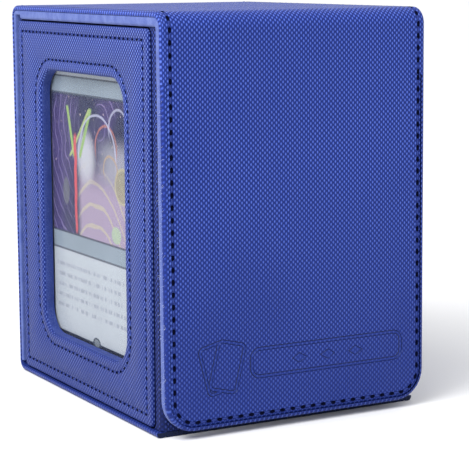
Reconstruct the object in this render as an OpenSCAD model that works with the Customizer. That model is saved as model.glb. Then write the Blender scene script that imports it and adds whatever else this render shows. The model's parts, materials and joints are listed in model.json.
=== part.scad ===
// Card deck box: a wrapped board box with a strap lid, a magnetic front flap and a
// window in its left side that shows one card from a slim pocket.
// Origin: middle of the footprint, on the surface the box stands on.
// +X is right, +Y is back and +Z is up. All sizes are in millimetres.

/* [Body] */
// Width of the box over its side walls
body_w = 78.8; // [76:0.2:100]
// Depth of the box over its front and back walls
body_d = 91.8; // [76:0.2:130]
// Height of the box walls above the base strap
body_h = 106.2; // [100:0.2:130]
// Thickness of the wall and floor boards
board_t = 2.0; // [1.6:0.1:2.6]
// Thickness of the cover that wraps the walls
wrap_t = 0.4; // [0.3:0.05:0.8]
// Thickness of the lining inside the box
lining_t = 0.4; // [0.3:0.05:0.8]
// Radius of the upright outer edges
arris_r = 1.5; // [1:0.1:3]

/* [Strap] */
// Thickness of the lid and of the flap
strap_t = 4; // [3.6:0.1:5]
// Thickness of the woven cover on the strap
cover_t = 1.4; // [1:0.1:1.6]
// Thickness of the smooth lining on the inner face and edges
edge_wrap_t = 0.5; // [0.3:0.05:0.8]
// Thickness of the strap behind the box
back_t = 2.8; // [2.4:0.1:4.2]
// Thickness of the strap under the box
base_t = 1.6; // [1:0.1:2.4]
// How far the strap stands out past each side panel
strap_reveal = 0.5; // [0:0.1:2]
// Inner radius of the fold between lid and flap
front_fold_in = 0.5; // [0.2:0.1:1.5]
// Inner radius of the fold between back and lid
back_fold_in = 0.4; // [0.2:0.1:1.5]
// Inner radius of the fold between base and back
base_fold_in = 1.4; // [0.6:0.1:2]
// Gap between the back and the lid when the lid is swung right over
hinge_clear = 0.4; // [0.3:0.1:1.5]
// Gap between the wall tops and the closed lid
lid_gap = 0.2; // [0.1:0.05:0.6]

/* [Flap] */
// Gap between the front wall and the top of the closed flap
flap_gap = 1; // [0.2:0.05:1.5]
// Angle the closed flap springs out from the front wall
flap_lean = 0.5; // [0:0.05:2]
// Height of the flap's lower edge above the ground
flap_lift = 2.1; // [0.5:0.1:8]
// Radius of the flap's two lower corners
flap_corner_r = 8.5; // [3:0.1:15]

/* [Side panels] */
// Thickness of the stitched side panels
panel_t = 0.9; // [0.6:0.1:1.6]
// Border between a side panel and the box's front edge
panel_front = 3.8; // [1:0.1:5]
// Border between a side panel and the box's back edge
panel_back = 1.2; // [0.2:0.1:5]
// Border above and below a side panel
panel_border = 0.3; // [0.2:0.1:3]
// Radius of a side panel's corners
panel_corner_r = 1.5; // [0.8:0.1:4]

/* [Window] */
// Width of the window
window_w = 56; // [40:0.2:58]
// Height of the window
window_h = 78.4; // [60:0.2:82]
// Height of the window's lower edge above the ground
window_z = 15.5; // [13:0.1:20]
// Radius of the window's corners
window_r = 8; // [3:0.2:12]
// Thickness of the clear pane
pane_t = 0.25; // [0.2:0.05:0.5]

/* [Card pocket] */
// Width of a card
card_w = 63; // [56:0.5:66]
// Height of a card
card_h = 88; // [86:0.5:90]
// Thickness of a card
card_t = 0.3; // [0.25:0.05:0.4]
// Radius of a card's corners
card_r = 3; // [2:0.1:4]
// Clear margin of the sleeve on each side of the card
sleeve_margin = 1.5; // [1:0.1:2]
// Thickness of one sheet of the sleeve
sleeve_sheet_t = 0.12; // [0.1:0.01:0.2]
// Gap between the pane and the divider wall of the pocket
pocket_gap = 1.6; // [1.2:0.1:3]
// Side play of the sleeve in its pocket
pocket_play = 1.2; // [0.3:0.1:2]
// Height of the ledge the sleeve stands on, above the floor board
pocket_ledge = 3.4; // [1:0.1:4]
// Thickness of the pocket's inner wall
pocket_wall_t = 1.4; // [1:0.1:2]
// Drop of the pocket's wall below the box's rim
pocket_drop = 6; // [4:0.2:8]
// Radius of the thumb notch in the pocket's wall
thumb_r = 10; // [6:0.5:12]

/* [Dividers] */
// Thickness of a divider
divider_t = 1.2; // [0.8:0.1:2]
// Height of a divider with its tab
divider_h = 94; // [80:1:96]
// Width of a divider's tab
tab_w = 24; // [16:1:40]
// Height of a divider's tab
tab_h = 5; // [3:0.5:10]
// Side play of a divider in the box
divider_play = 0.6; // [0.3:0.1:1]
// Distance of each divider from the middle of the box
divider_y = 15; // [12:0.5:20]

/* [Magnets] */
// Diameter of a magnet
magnet_d = 10; // [6:0.5:14]
// Thickness of a magnet
magnet_t = 1.2; // [1:0.1:1.5]
// Distance of each magnet from the middle of the flap
magnet_x = 22; // [16:0.5:28]
// Height of the magnets above the ground
magnet_z = 32; // [26:0.5:60]

/* [Stitching] */
// Width of a row of thread
seam_w = 0.6; // [0.4:0.05:1]
// Depth of the channel the thread is pulled into
seam_t = 0.25; // [0.15:0.05:0.4]
// Distance of the strap's thread from its edge
strap_seam = 2.4; // [2:0.1:4]
// Distance of a side panel's outer thread from its edge
panel_seam = 3; // [2:0.1:4]
// Distance of the window's thread from the opening
window_seam = 3; // [2:0.1:4]

/* [Emblem] */
// Depth of the pressed emblem
emblem_depth = 0.3; // [0.2:0.05:0.6]
// Width of a pressed line
emblem_line = 0.7; // [0.5:0.1:1.2]
// Height of one card in the emblem
emblem_card_h = 13; // [8:0.5:16]
// Length of the pressed plate beside the cards
plate_l = 48; // [30:0.5:48]
// Height of the pressed plate
plate_h = 7.5; // [5:0.5:10]

/* [Hidden] */

round_fn = 64;
fold_clear = 0.3;   // between a fold and the stiff panel that turns past it
card_play = 0.03;   // on each side of a card in its sleeve
rest_gap = 0.1;     // under a piece that stands in the box
cut = 1;            // how far a cutter reaches past what it cuts

// Strap and body heights
strap_w = body_w + 2 * (panel_t + strap_reveal);
rim_z = base_t + body_h;
lid_z = rim_z + lid_gap;
top_z = lid_z + strap_t;
floor_z = base_t + board_t;

// Folds: their outer radii and the axes that the lid and the flap turn on
front_fold_r = strap_t + front_fold_in;
back_fold_r = back_t + back_fold_in;
base_fold_r = base_t + base_fold_in;
hinge_slack = back_fold_r + hinge_clear;
front_axis_z = top_z - front_fold_r;
back_axis_z = top_z - back_fold_r;
flap_l = front_axis_z - flap_lift;
flap_reach = flap_gap + strap_t - front_fold_r * (1 - cos(flap_lean)) + flap_l * sin(flap_lean);

// Places along the depth; the closed box is centred on the origin
body_y = (flap_reach - back_t) / 2;
body_front = body_y - body_d / 2;
body_back = body_y + body_d / 2;
back_out = body_back + back_t;
flap_out = body_front - flap_gap - strap_t;
front_axis_y = flap_out + front_fold_r;
back_axis_y = back_out - back_fold_r;
lid_back = back_axis_y - hinge_slack;
lid_l = lid_back - front_axis_y;
flap_top = front_axis_z - fold_clear;

// Room inside the wrap and inside the wall boards
wall_w = body_w - 2 * wrap_t;
wall_d = body_d - 2 * wrap_t;
room_w = wall_w - 2 * board_t;
room_d = wall_d - 2 * board_t;
room_left = -room_w / 2;

// Side panels
panel_w = body_d - panel_front - panel_back;
panel_h = body_h - 2 * panel_border;
panel_y = body_y + (panel_front - panel_back) / 2;
panel_z = base_t + body_h / 2;
window_mid = window_z + window_h / 2;

// Card pocket, from the pane inwards
sleeve_w = card_w + 2 * sleeve_margin;
sleeve_h = card_h + 2 * sleeve_margin;
sleeve_t = card_t + 2 * (card_play + sleeve_sheet_t);
pocket_w = sleeve_w + 2 * pocket_play;
pocket_z = floor_z + pocket_ledge;
pocket_top = rim_z - pocket_drop;
pocket_t = pane_t + pocket_gap;
pocket_wall_x = room_left + pocket_t;
sleeve_x = room_left + pane_t + rest_gap;
sleeve_z = pocket_z + rest_gap;
card_z = sleeve_z + sleeve_margin;
sleeve_y = panel_y - pocket_play + rest_gap;

// Main compartment inside the lining
room_x0 = pocket_wall_x + pocket_wall_t;
room_x1 = room_w / 2;
deck_x0 = room_x0 + lining_t;
deck_x1 = room_x1 - lining_t;
deck_x = (deck_x0 + deck_x1) / 2;
divider_w = deck_x1 - deck_x0 - 2 * divider_play;
divider_z = floor_z + lining_t + rest_gap;
divider_r = 3;

// Emblem
emblem_left = 10.2;     // from the flap's left edge
emblem_low = 11.9;      // from the ground
emblem_card_w = emblem_card_h * card_w / card_h;
emblem_fan = 14;        // angle each card leans
emblem_card_r = 1.2;
plate_gap = 2.4;        // between the cards and the plate
lozenge_w = 4.4;
lozenge_h = 2.6;
lozenge_pitch = 9;

// Rectangle w by h with round corners, centred
module round_rect(w, h, r) {
    square([w - 2 * r, h], center = true);
    square([w, h - 2 * r], center = true);
    for (x = [-1, 1], y = [-1, 1])
        translate([x * (w / 2 - r), y * (h / 2 - r)])
            circle(r, $fn = round_fn);
}

// Line of width t along the outline of round_rect(w, h, r), half of it on each side
module round_line(w, h, r, t) {
    difference() {
        round_rect(w + t, h + t, r + t / 2);
        round_rect(w - t, h - t, r - t / 2);
    }
}

// Raises a drawing of the (Y, Z) plane to the right, from x
module from_left(x, t) {
    translate([x, 0, 0])
        rotate([90, 0, 90])
            linear_extrude(t)
                children();
}

// Raises a drawing of the (X, Z) plane to the back, from y
module from_front(y, t) {
    translate([0, y + t, 0])
        rotate([90, 0, 0])
            linear_extrude(t)
                children();
}

// Box from its low corner to its high corner
module span(low, high) {
    translate(low)
        cube(high - low);
}

// Turns a piece that hangs from the front fold out by the flap's lean
module leaned() {
    translate([0, front_axis_y, front_axis_z])
        rotate([-flap_lean, 0, 0])
            translate([0, -front_axis_y, -front_axis_z])
                children();
}

// Outline of the space inside the wrap, seen from above
module wall_plan() {
    translate([0, body_y])
        round_rect(wall_w, wall_d, arris_r - wrap_t);
}

// Window opening, in the (Y, Z) plane, grown by m on every side
module window_hole(m = 0) {
    translate([panel_y, window_mid])
        round_rect(window_w + 2 * m, window_h + 2 * m, window_r + m);
}

// Outline of a side panel, in the (Y, Z) plane
module panel_outline() {
    translate([panel_y, panel_z])
        round_rect(panel_w, panel_h, panel_corner_r);
}

// Thread along the border of a side panel, in the (Y, Z) plane
module panel_thread() {
    translate([panel_y, panel_z])
        round_line(panel_w - 2 * panel_seam, panel_h - 2 * panel_seam, panel_corner_r, seam_w);
}

// Thread around the window, in the (Y, Z) plane
module window_thread() {
    difference() {
        window_hole(window_seam + seam_w / 2);
        window_hole(window_seam - seam_w / 2);
    }
}

// Outline of the flap, in the (X, Z) plane, drawn in by m, up to the height top
module flap_outline(m, top) {
    r = flap_corner_r - m;
    half = strap_w / 2 - m;
    low = flap_lift + m;
    translate([-half, low + r])
        square([2 * half, top - low - r]);
    translate([-half + r, low])
        square([2 * (half - r), r]);
    for (x = [-1, 1])
        translate([x * (half - r), low + r])
            circle(r, $fn = round_fn);
}

// Thread down one side of the flap, along its lower edge and up the other side
module flap_thread() {
    difference() {
        flap_outline(strap_seam - seam_w / 2, flap_top);
        flap_outline(strap_seam + seam_w / 2, flap_top + cut);
    }
}

// Two straight threads of the strap, from y0 to y1 in the (X, Y) plane
module strap_threads(y0, y1) {
    for (x = [-1, 1])
        translate([x * (strap_w / 2 - strap_seam) - seam_w / 2, y0])
            square([seam_w, y1 - y0]);
}

// Quarter of a ring between radius r0 and r1, in the quadrant (sy, sz) about (y, z)
module quarter_ring(y, z, r0, r1, sy, sz) {
    translate([y, z])
        intersection() {
            difference() {
                circle(r1, $fn = round_fn);
                circle(r0, $fn = round_fn);
            }
            translate([min(0, sy * r1), min(0, sz * r1)])
                square(r1);
        }
}

// Two discs, one on each side of the middle, with their front faces at y
module magnet_pair(y, t) {
    for (x = [-1, 1])
        translate([x * magnet_x, y + t, magnet_z])
            rotate([90, 0, 0])
                cylinder(h = t, d = magnet_d, $fn = round_fn);
}

// One card of the emblem: a pressed outline that leans by angle
module emblem_card(angle, line) {
    rotate(angle)
        round_line(emblem_card_w, emblem_card_h, emblem_card_r, line);
}

// The pressed emblem: two fanned cards and a blank plate with three lozenges
module emblem() {
    card_x = emblem_left + emblem_card_h / 2 - strap_w / 2;
    mid_z = emblem_low + emblem_card_h / 2;
    translate([card_x, mid_z]) {
        difference() {
            emblem_card(emblem_fan, emblem_line);
            rotate(-emblem_fan)
                round_rect(emblem_card_w, emblem_card_h, emblem_card_r);
        }
        emblem_card(-emblem_fan, emblem_line);
    }
    translate([card_x + emblem_card_h / 2 + plate_gap + plate_l / 2, mid_z]) {
        round_line(plate_l, plate_h, plate_h / 3, emblem_line);
        for (i = [-1:1])
            translate([i * lozenge_pitch, 0])
                polygon([
                    [-lozenge_w / 2, 0], [0, -lozenge_h / 2], [lozenge_w / 2, 0], [0, lozenge_h / 2]
                ]);
    }
}

// ---- Box ----

module floor_board() {
    color("burlywood")
        span([-room_w / 2, body_y - room_d / 2, base_t], [room_w / 2, body_y + room_d / 2, floor_z]);
}

// Front or back wall board; side is -1 for the front and 1 for the back
module end_board(side) {
    translate([0, 0, base_t])
        linear_extrude(body_h)
            intersection() {
                wall_plan();
                translate([0, body_y + side * (wall_d - board_t) / 2])
                    square([wall_w, board_t], center = true);
            }
}

module front_board() {
    color("burlywood")
        difference() {
            end_board(-1);
            magnet_pair(body_front + wrap_t, magnet_t);
        }
}

module back_board() {
    color("burlywood")
        end_board(1);
}

module window_side_board() {
    color("burlywood")
        difference() {
            span([-wall_w / 2, body_y - room_d / 2, base_t], [room_left, body_y + room_d / 2, rim_z]);
            from_left(-wall_w / 2 - cut, board_t + 2 * cut)
                window_hole();
        }
}

module plain_side_board() {
    color("burlywood")
        span([room_w / 2, body_y - room_d / 2, base_t], [wall_w / 2, body_y + room_d / 2, rim_z]);
}

module body_wrap() {
    color("royalblue")
        difference() {
            translate([0, 0, base_t])
                linear_extrude(body_h)
                    difference() {
                        translate([0, body_y])
                            round_rect(body_w, body_d, arris_r);
                        wall_plan();
                    }
            from_left(-body_w / 2 - cut, wrap_t + 2 * cut)
                window_hole();
        }
}

module inner_lining() {
    y0 = body_y - room_d / 2;
    y1 = body_y + room_d / 2;
    color("steelblue")
        difference() {
            span([room_x0, y0, floor_z], [room_x1, y1, rim_z]);
            span([deck_x0, y0 + lining_t, floor_z + lining_t], [deck_x1, y1 - lining_t, rim_z + cut]);
            span([room_x0 - cut, y0 + lining_t, pocket_top], [deck_x0 + cut, y1 - lining_t, rim_z + cut]);
            thumb_notch();
        }
}

module front_magnets() {
    color("silver")
        magnet_pair(body_front + wrap_t, magnet_t);
}

// ---- Side panels and window ----

module window_frame_panel() {
    color("slateblue")
        difference() {
            from_left(-body_w / 2 - panel_t, panel_t)
                difference() {
                    panel_outline();
                    window_hole();
                }
            from_left(-body_w / 2 - panel_t - cut, seam_t + cut) {
                panel_thread();
                window_thread();
            }
        }
}

module side_panel() {
    color("slateblue")
        difference() {
            from_left(body_w / 2, panel_t)
                panel_outline();
            from_left(body_w / 2 + panel_t - seam_t, seam_t + cut)
                panel_thread();
        }
}

module frame_outer_seam() {
    color("navy")
        from_left(-body_w / 2 - panel_t, seam_t)
            panel_thread();
}

module frame_inner_seam() {
    color("navy")
        from_left(-body_w / 2 - panel_t, seam_t)
            window_thread();
}

module side_panel_seam() {
    color("navy")
        from_left(body_w / 2 + panel_t - seam_t, seam_t)
            panel_thread();
}

module window_pane() {
    color("lightcyan", 0.4)
        from_left(room_left, pane_t)
            translate([panel_y - pocket_w / 2, pocket_z])
                square([pocket_w, pocket_top - pocket_z]);
}

// ---- Card pocket ----

// Half-round notch for a thumb, cut through the pocket's wall and its lining
module thumb_notch() {
    translate([pocket_wall_x - cut, panel_y, pocket_top])
        rotate([0, 90, 0])
            cylinder(h = pocket_wall_t + lining_t + 2 * cut, r = thumb_r, $fn = round_fn);
}

module pocket_spacer() {
    color("burlywood")
        from_left(room_left, pocket_t)
            difference() {
                translate([body_y - room_d / 2, floor_z])
                    square([room_d, pocket_top - floor_z]);
                translate([panel_y - pocket_w / 2, pocket_z])
                    square([pocket_w, body_h]);
            }
}

module pocket_wall() {
    color("tan")
        difference() {
            span([pocket_wall_x, body_y - room_d / 2, floor_z], [room_x0, body_y + room_d / 2, pocket_top]);
            thumb_notch();
        }
}

module display_card() {
    color("plum")
        from_left(sleeve_x + sleeve_sheet_t + card_play, card_t)
            translate([sleeve_y, card_z + card_h / 2])
                round_rect(card_w, card_h, card_r);
}

module card_sleeve() {
    color("white", 0.3)
        difference() {
            from_left(sleeve_x, sleeve_t)
                translate([sleeve_y - sleeve_w / 2, sleeve_z])
                    square([sleeve_w, sleeve_h]);
            from_left(sleeve_x + sleeve_sheet_t, card_t + 2 * card_play)
                translate([sleeve_y - card_w / 2 - card_play, card_z - card_play])
                    square([card_w + 2 * card_play, sleeve_h]);
        }
}

// ---- Dividers ----

// Plate across the box at y, with a finger tab at the middle of its top
module divider(y) {
    plate_top = divider_h - tab_h;
    from_front(y - divider_t / 2, divider_t)
        translate([deck_x, divider_z]) {
            translate([-divider_w / 2, 0])
                square([divider_w, plate_top - divider_r]);
            translate([0, plate_top / 2])
                round_rect(divider_w, plate_top, divider_r);
            translate([0, divider_h - tab_h])
                round_rect(tab_w, 2 * tab_h, divider_r);
        }
}

module front_divider() {
    color("lightsteelblue")
        divider(body_y - divider_y);
}

module back_divider() {
    color("lightsteelblue")
        divider(body_y + divider_y);
}

// ---- Strap: base and back ----

module base_strap_cover() {
    fold_y = back_out - base_fold_r;
    color("royalblue")
        from_left(-strap_w / 2, strap_w) {
            translate([body_front, 0])
                square([fold_y - body_front, base_t]);
            quarter_ring(fold_y, base_fold_r, base_fold_r - base_t, base_fold_r, 1, -1);
        }
}

module back_strap_core() {
    color("cornflowerblue")
        span([-strap_w / 2, body_back, base_fold_r], [strap_w / 2, back_out - cover_t, back_axis_z]);
}

module back_strap_cover() {
    color("royalblue")
        difference() {
            span([-strap_w / 2, back_out - cover_t, base_fold_r], [strap_w / 2, back_out, back_axis_z]);
            from_front(back_out - seam_t, seam_t + cut)
                strap_threads(base_fold_r - cut, back_axis_z + cut);
        }
}

module back_seam() {
    color("navy")
        from_front(back_out - seam_t, seam_t)
            strap_threads(base_fold_r, back_axis_z);
}

// Cloth from the top of the back, round the fold and forward to the lid
module lid_hinge_fold() {
    leg_y = lid_back + fold_clear;
    color("royalblue")
        from_left(-strap_w / 2, strap_w) {
            quarter_ring(back_axis_y, back_axis_z, back_fold_r - back_t, back_fold_r, 1, 1);
            translate([leg_y, top_z - cover_t])
                square([back_axis_y - leg_y, cover_t]);
        }
}

// ---- Strap: lid ----

module lid_core() {
    half = strap_w / 2 - edge_wrap_t;
    color("burlywood")
        span(
            [-half, front_axis_y + edge_wrap_t, lid_z + edge_wrap_t],
            [half, lid_back - edge_wrap_t, top_z - cover_t]
        );
}

module lid_lining() {
    color("cornflowerblue")
        difference() {
            span([-strap_w / 2, front_axis_y, lid_z], [strap_w / 2, lid_back, top_z - cover_t]);
            span(
                [-strap_w / 2 + edge_wrap_t, front_axis_y + edge_wrap_t, lid_z + edge_wrap_t],
                [strap_w / 2 - edge_wrap_t, lid_back - edge_wrap_t, top_z]
            );
        }
}

module lid_cover() {
    color("royalblue")
        difference() {
            span([-strap_w / 2, front_axis_y, top_z - cover_t], [strap_w / 2, lid_back, top_z]);
            translate([0, 0, top_z - seam_t])
                linear_extrude(seam_t + cut)
                    strap_threads(front_axis_y - cut, lid_back + cut);
        }
}

module lid_seam() {
    color("navy")
        translate([0, 0, top_z - seam_t])
            linear_extrude(seam_t)
                strap_threads(front_axis_y, lid_back);
}

// Cloth from the front of the lid, round the fold, down to the flap
module flap_hinge_fold() {
    color("royalblue")
        from_left(-strap_w / 2, strap_w)
            quarter_ring(front_axis_y, front_axis_z, front_fold_r - strap_t, front_fold_r, -1, 1);
}

// ---- Strap: flap ----

module flap_core() {
    y0 = flap_out + cover_t;
    y1 = flap_out + strap_t - edge_wrap_t;
    color("burlywood")
        leaned()
            difference() {
                from_front(y0, y1 - y0)
                    flap_outline(edge_wrap_t, flap_top - edge_wrap_t);
                magnet_pair(y1 - magnet_t, magnet_t);
            }
}

module flap_lining() {
    y0 = flap_out + cover_t;
    y1 = flap_out + strap_t;
    color("cornflowerblue")
        leaned()
            difference() {
                from_front(y0, y1 - y0)
                    flap_outline(0, flap_top);
                from_front(y0 - cut, y1 - y0 - edge_wrap_t + cut)
                    flap_outline(edge_wrap_t, flap_top - edge_wrap_t);
            }
}

module flap_cover() {
    color("royalblue")
        leaned()
            difference() {
                from_front(flap_out, cover_t)
                    flap_outline(0, flap_top);
                from_front(flap_out - cut, seam_t + cut)
                    flap_thread();
                from_front(flap_out - cut, emblem_depth + cut)
                    emblem();
            }
}

module flap_seam() {
    color("navy")
        leaned()
            from_front(flap_out, seam_t)
                flap_thread();
}

module flap_magnets() {
    color("silver")
        leaned()
            magnet_pair(flap_out + strap_t - edge_wrap_t - magnet_t, magnet_t);
}

floor_board();
front_board();
back_board();
window_side_board();
plain_side_board();
body_wrap();
inner_lining();
window_frame_panel();
side_panel();
window_pane();
pocket_spacer();
pocket_wall();
front_magnets();
base_strap_cover();
back_strap_core();
back_strap_cover();
frame_outer_seam();
frame_inner_seam();
side_panel_seam();
back_seam();
lid_hinge_fold();
lid_core();
lid_lining();
lid_cover();
lid_seam();
flap_hinge_fold();
flap_core();
flap_lining();
flap_cover();
flap_seam();
flap_magnets();
display_card();
card_sleeve();
front_divider();
back_divider();
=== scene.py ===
"""A card deck box: a wrapped box, its strap with lid and flap, and a window with a card."""

import json
import logging
import math
import random
from dataclasses import dataclass
from enum import Enum
from functools import lru_cache
from typing import Any, Callable, Sequence, Union

import bmesh
import bpy
from mathutils import Matrix, Vector
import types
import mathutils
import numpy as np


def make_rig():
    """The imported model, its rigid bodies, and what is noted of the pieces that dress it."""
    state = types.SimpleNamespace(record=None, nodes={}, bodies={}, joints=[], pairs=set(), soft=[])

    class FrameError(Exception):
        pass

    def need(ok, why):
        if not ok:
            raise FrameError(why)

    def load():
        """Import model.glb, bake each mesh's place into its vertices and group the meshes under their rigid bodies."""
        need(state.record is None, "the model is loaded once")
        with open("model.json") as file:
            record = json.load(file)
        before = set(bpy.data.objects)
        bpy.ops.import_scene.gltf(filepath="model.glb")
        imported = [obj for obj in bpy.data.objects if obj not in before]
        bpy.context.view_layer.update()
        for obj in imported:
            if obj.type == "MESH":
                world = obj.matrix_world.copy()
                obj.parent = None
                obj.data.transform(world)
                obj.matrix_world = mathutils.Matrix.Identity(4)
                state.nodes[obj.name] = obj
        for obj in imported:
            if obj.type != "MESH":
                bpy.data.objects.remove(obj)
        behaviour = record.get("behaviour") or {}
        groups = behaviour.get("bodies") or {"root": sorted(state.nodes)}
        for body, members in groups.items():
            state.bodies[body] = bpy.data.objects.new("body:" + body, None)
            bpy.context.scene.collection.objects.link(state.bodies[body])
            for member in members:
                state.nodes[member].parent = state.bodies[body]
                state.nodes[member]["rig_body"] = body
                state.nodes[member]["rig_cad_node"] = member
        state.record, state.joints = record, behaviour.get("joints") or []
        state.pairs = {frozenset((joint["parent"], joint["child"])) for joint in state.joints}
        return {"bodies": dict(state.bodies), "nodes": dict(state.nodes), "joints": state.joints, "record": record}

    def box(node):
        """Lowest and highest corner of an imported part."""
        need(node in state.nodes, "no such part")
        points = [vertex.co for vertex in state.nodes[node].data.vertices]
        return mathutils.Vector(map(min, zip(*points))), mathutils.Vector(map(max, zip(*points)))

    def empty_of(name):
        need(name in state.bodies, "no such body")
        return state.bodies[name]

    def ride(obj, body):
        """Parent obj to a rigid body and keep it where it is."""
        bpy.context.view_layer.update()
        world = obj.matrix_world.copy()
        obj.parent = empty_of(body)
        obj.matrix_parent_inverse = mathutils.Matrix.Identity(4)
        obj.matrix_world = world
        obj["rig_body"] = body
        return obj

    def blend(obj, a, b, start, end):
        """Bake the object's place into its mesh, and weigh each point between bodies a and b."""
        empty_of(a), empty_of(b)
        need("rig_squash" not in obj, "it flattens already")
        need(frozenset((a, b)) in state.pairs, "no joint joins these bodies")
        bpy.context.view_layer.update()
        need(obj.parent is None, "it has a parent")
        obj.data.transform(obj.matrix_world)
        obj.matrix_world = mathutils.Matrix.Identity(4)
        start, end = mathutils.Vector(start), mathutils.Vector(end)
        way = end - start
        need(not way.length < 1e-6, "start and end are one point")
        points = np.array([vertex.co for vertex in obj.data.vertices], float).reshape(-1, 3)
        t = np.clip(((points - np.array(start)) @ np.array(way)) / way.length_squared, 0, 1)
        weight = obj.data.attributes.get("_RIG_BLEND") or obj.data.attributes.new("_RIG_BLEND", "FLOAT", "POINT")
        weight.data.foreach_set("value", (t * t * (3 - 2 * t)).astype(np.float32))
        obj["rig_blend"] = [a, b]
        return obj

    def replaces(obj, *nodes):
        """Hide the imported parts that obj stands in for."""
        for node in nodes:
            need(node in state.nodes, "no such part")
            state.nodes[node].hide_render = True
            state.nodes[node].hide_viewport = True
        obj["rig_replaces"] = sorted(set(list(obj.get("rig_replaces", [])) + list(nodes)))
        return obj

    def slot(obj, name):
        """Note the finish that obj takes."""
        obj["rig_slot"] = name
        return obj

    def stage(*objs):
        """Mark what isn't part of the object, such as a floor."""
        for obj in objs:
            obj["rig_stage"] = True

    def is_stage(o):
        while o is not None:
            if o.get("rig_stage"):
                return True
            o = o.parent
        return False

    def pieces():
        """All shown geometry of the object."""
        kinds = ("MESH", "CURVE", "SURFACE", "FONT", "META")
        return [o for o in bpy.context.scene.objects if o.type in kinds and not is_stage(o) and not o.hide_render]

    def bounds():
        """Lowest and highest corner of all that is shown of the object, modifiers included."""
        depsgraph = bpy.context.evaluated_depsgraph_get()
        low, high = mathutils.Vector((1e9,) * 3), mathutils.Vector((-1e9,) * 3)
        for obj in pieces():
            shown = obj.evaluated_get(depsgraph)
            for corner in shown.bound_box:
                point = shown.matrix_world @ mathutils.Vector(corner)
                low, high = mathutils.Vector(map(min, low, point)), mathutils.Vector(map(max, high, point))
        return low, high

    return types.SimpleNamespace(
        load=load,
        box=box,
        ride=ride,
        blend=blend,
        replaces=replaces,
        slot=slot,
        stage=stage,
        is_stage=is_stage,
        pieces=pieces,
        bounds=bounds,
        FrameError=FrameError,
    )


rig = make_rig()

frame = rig.load()
CAD_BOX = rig.bounds()

log = logging.getLogger("deck_box")
MM = 0.001
QUARTER = math.pi / 2
WAVE = 2 * math.pi

Colour = tuple[float, float, float, float]
Point = tuple[float, float]
Triple = tuple[float, float, float]
Profile = Sequence[tuple[float, float]]
Keys = set[tuple[int, ...]]
Object = bpy.types.Object
Socket = bpy.types.NodeSocket


def low(node: str) -> Vector:
    """Lowest corner of a CAD node."""
    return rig.box(node)[0]


def high(node: str) -> Vector:
    """Highest corner of a CAD node."""
    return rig.box(node)[1]


# ---- Shader arithmetic ----


class Value:
    """A number in a shader that takes part in Python arithmetic."""

    def __init__(self, shader: "Shader", socket: Socket) -> None:
        """Wraps a node's output socket."""
        self.shader = shader
        self.socket = socket

    def __add__(self, other: "Number") -> "Value":
        """Self plus other."""
        return self.shader.math("ADD", self, other)

    __radd__ = __add__

    def __sub__(self, other: "Number") -> "Value":
        """Self minus other."""
        return self.shader.math("SUBTRACT", self, other)

    def __rsub__(self, other: "Number") -> "Value":
        """Other minus self."""
        return self.shader.math("SUBTRACT", other, self)

    def __mul__(self, other: "Number") -> "Value":
        """Self times other."""
        return self.shader.math("MULTIPLY", self, other)

    __rmul__ = __mul__

    def __abs__(self) -> "Value":
        """Size without sign."""
        return self.shader.math("ABSOLUTE", self)

    def cos(self) -> "Value":
        """Cosine, of radians."""
        return self.shader.math("COSINE", self)

    def root(self) -> "Value":
        """Square root."""
        return self.shader.math("SQRT", self)

    def least(self, other: "Number") -> "Value":
        """The smaller of the two."""
        return self.shader.math("MINIMUM", self, other)

    def most(self, other: "Number") -> "Value":
        """The larger of the two."""
        return self.shader.math("MAXIMUM", self, other)

    def step(self, start: float, end: float) -> "Value":
        """Rises smoothly from 0 at start to 1 at end.

        Args:
            start: The input that gives 0.
            end: The input that gives 1. It may be the smaller of the two.

        Returns:
            A value from 0 to 1.
        """
        falls = end < start
        sockets = {
            "Value": self, "From Min": min(start, end), "From Max": max(start, end),
            "To Min": float(falls), "To Max": float(not falls),
        }
        made = self.shader.node("MapRange", {"interpolation_type": "SMOOTHSTEP"}, sockets)
        return Value(self.shader, made.outputs[0])

    def between(self, start: float, end: float, soft: float) -> "Value":
        """1 from start to end and 0 outside, with edges of width soft."""
        return self.step(start - soft, start + soft) * self.step(end + soft, end - soft)


Number = Union[Value, float, int]


def distance(u: Value, v: Value) -> Value:
    """Length of the vector u, v."""
    return (u * u + v * v).root()


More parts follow.
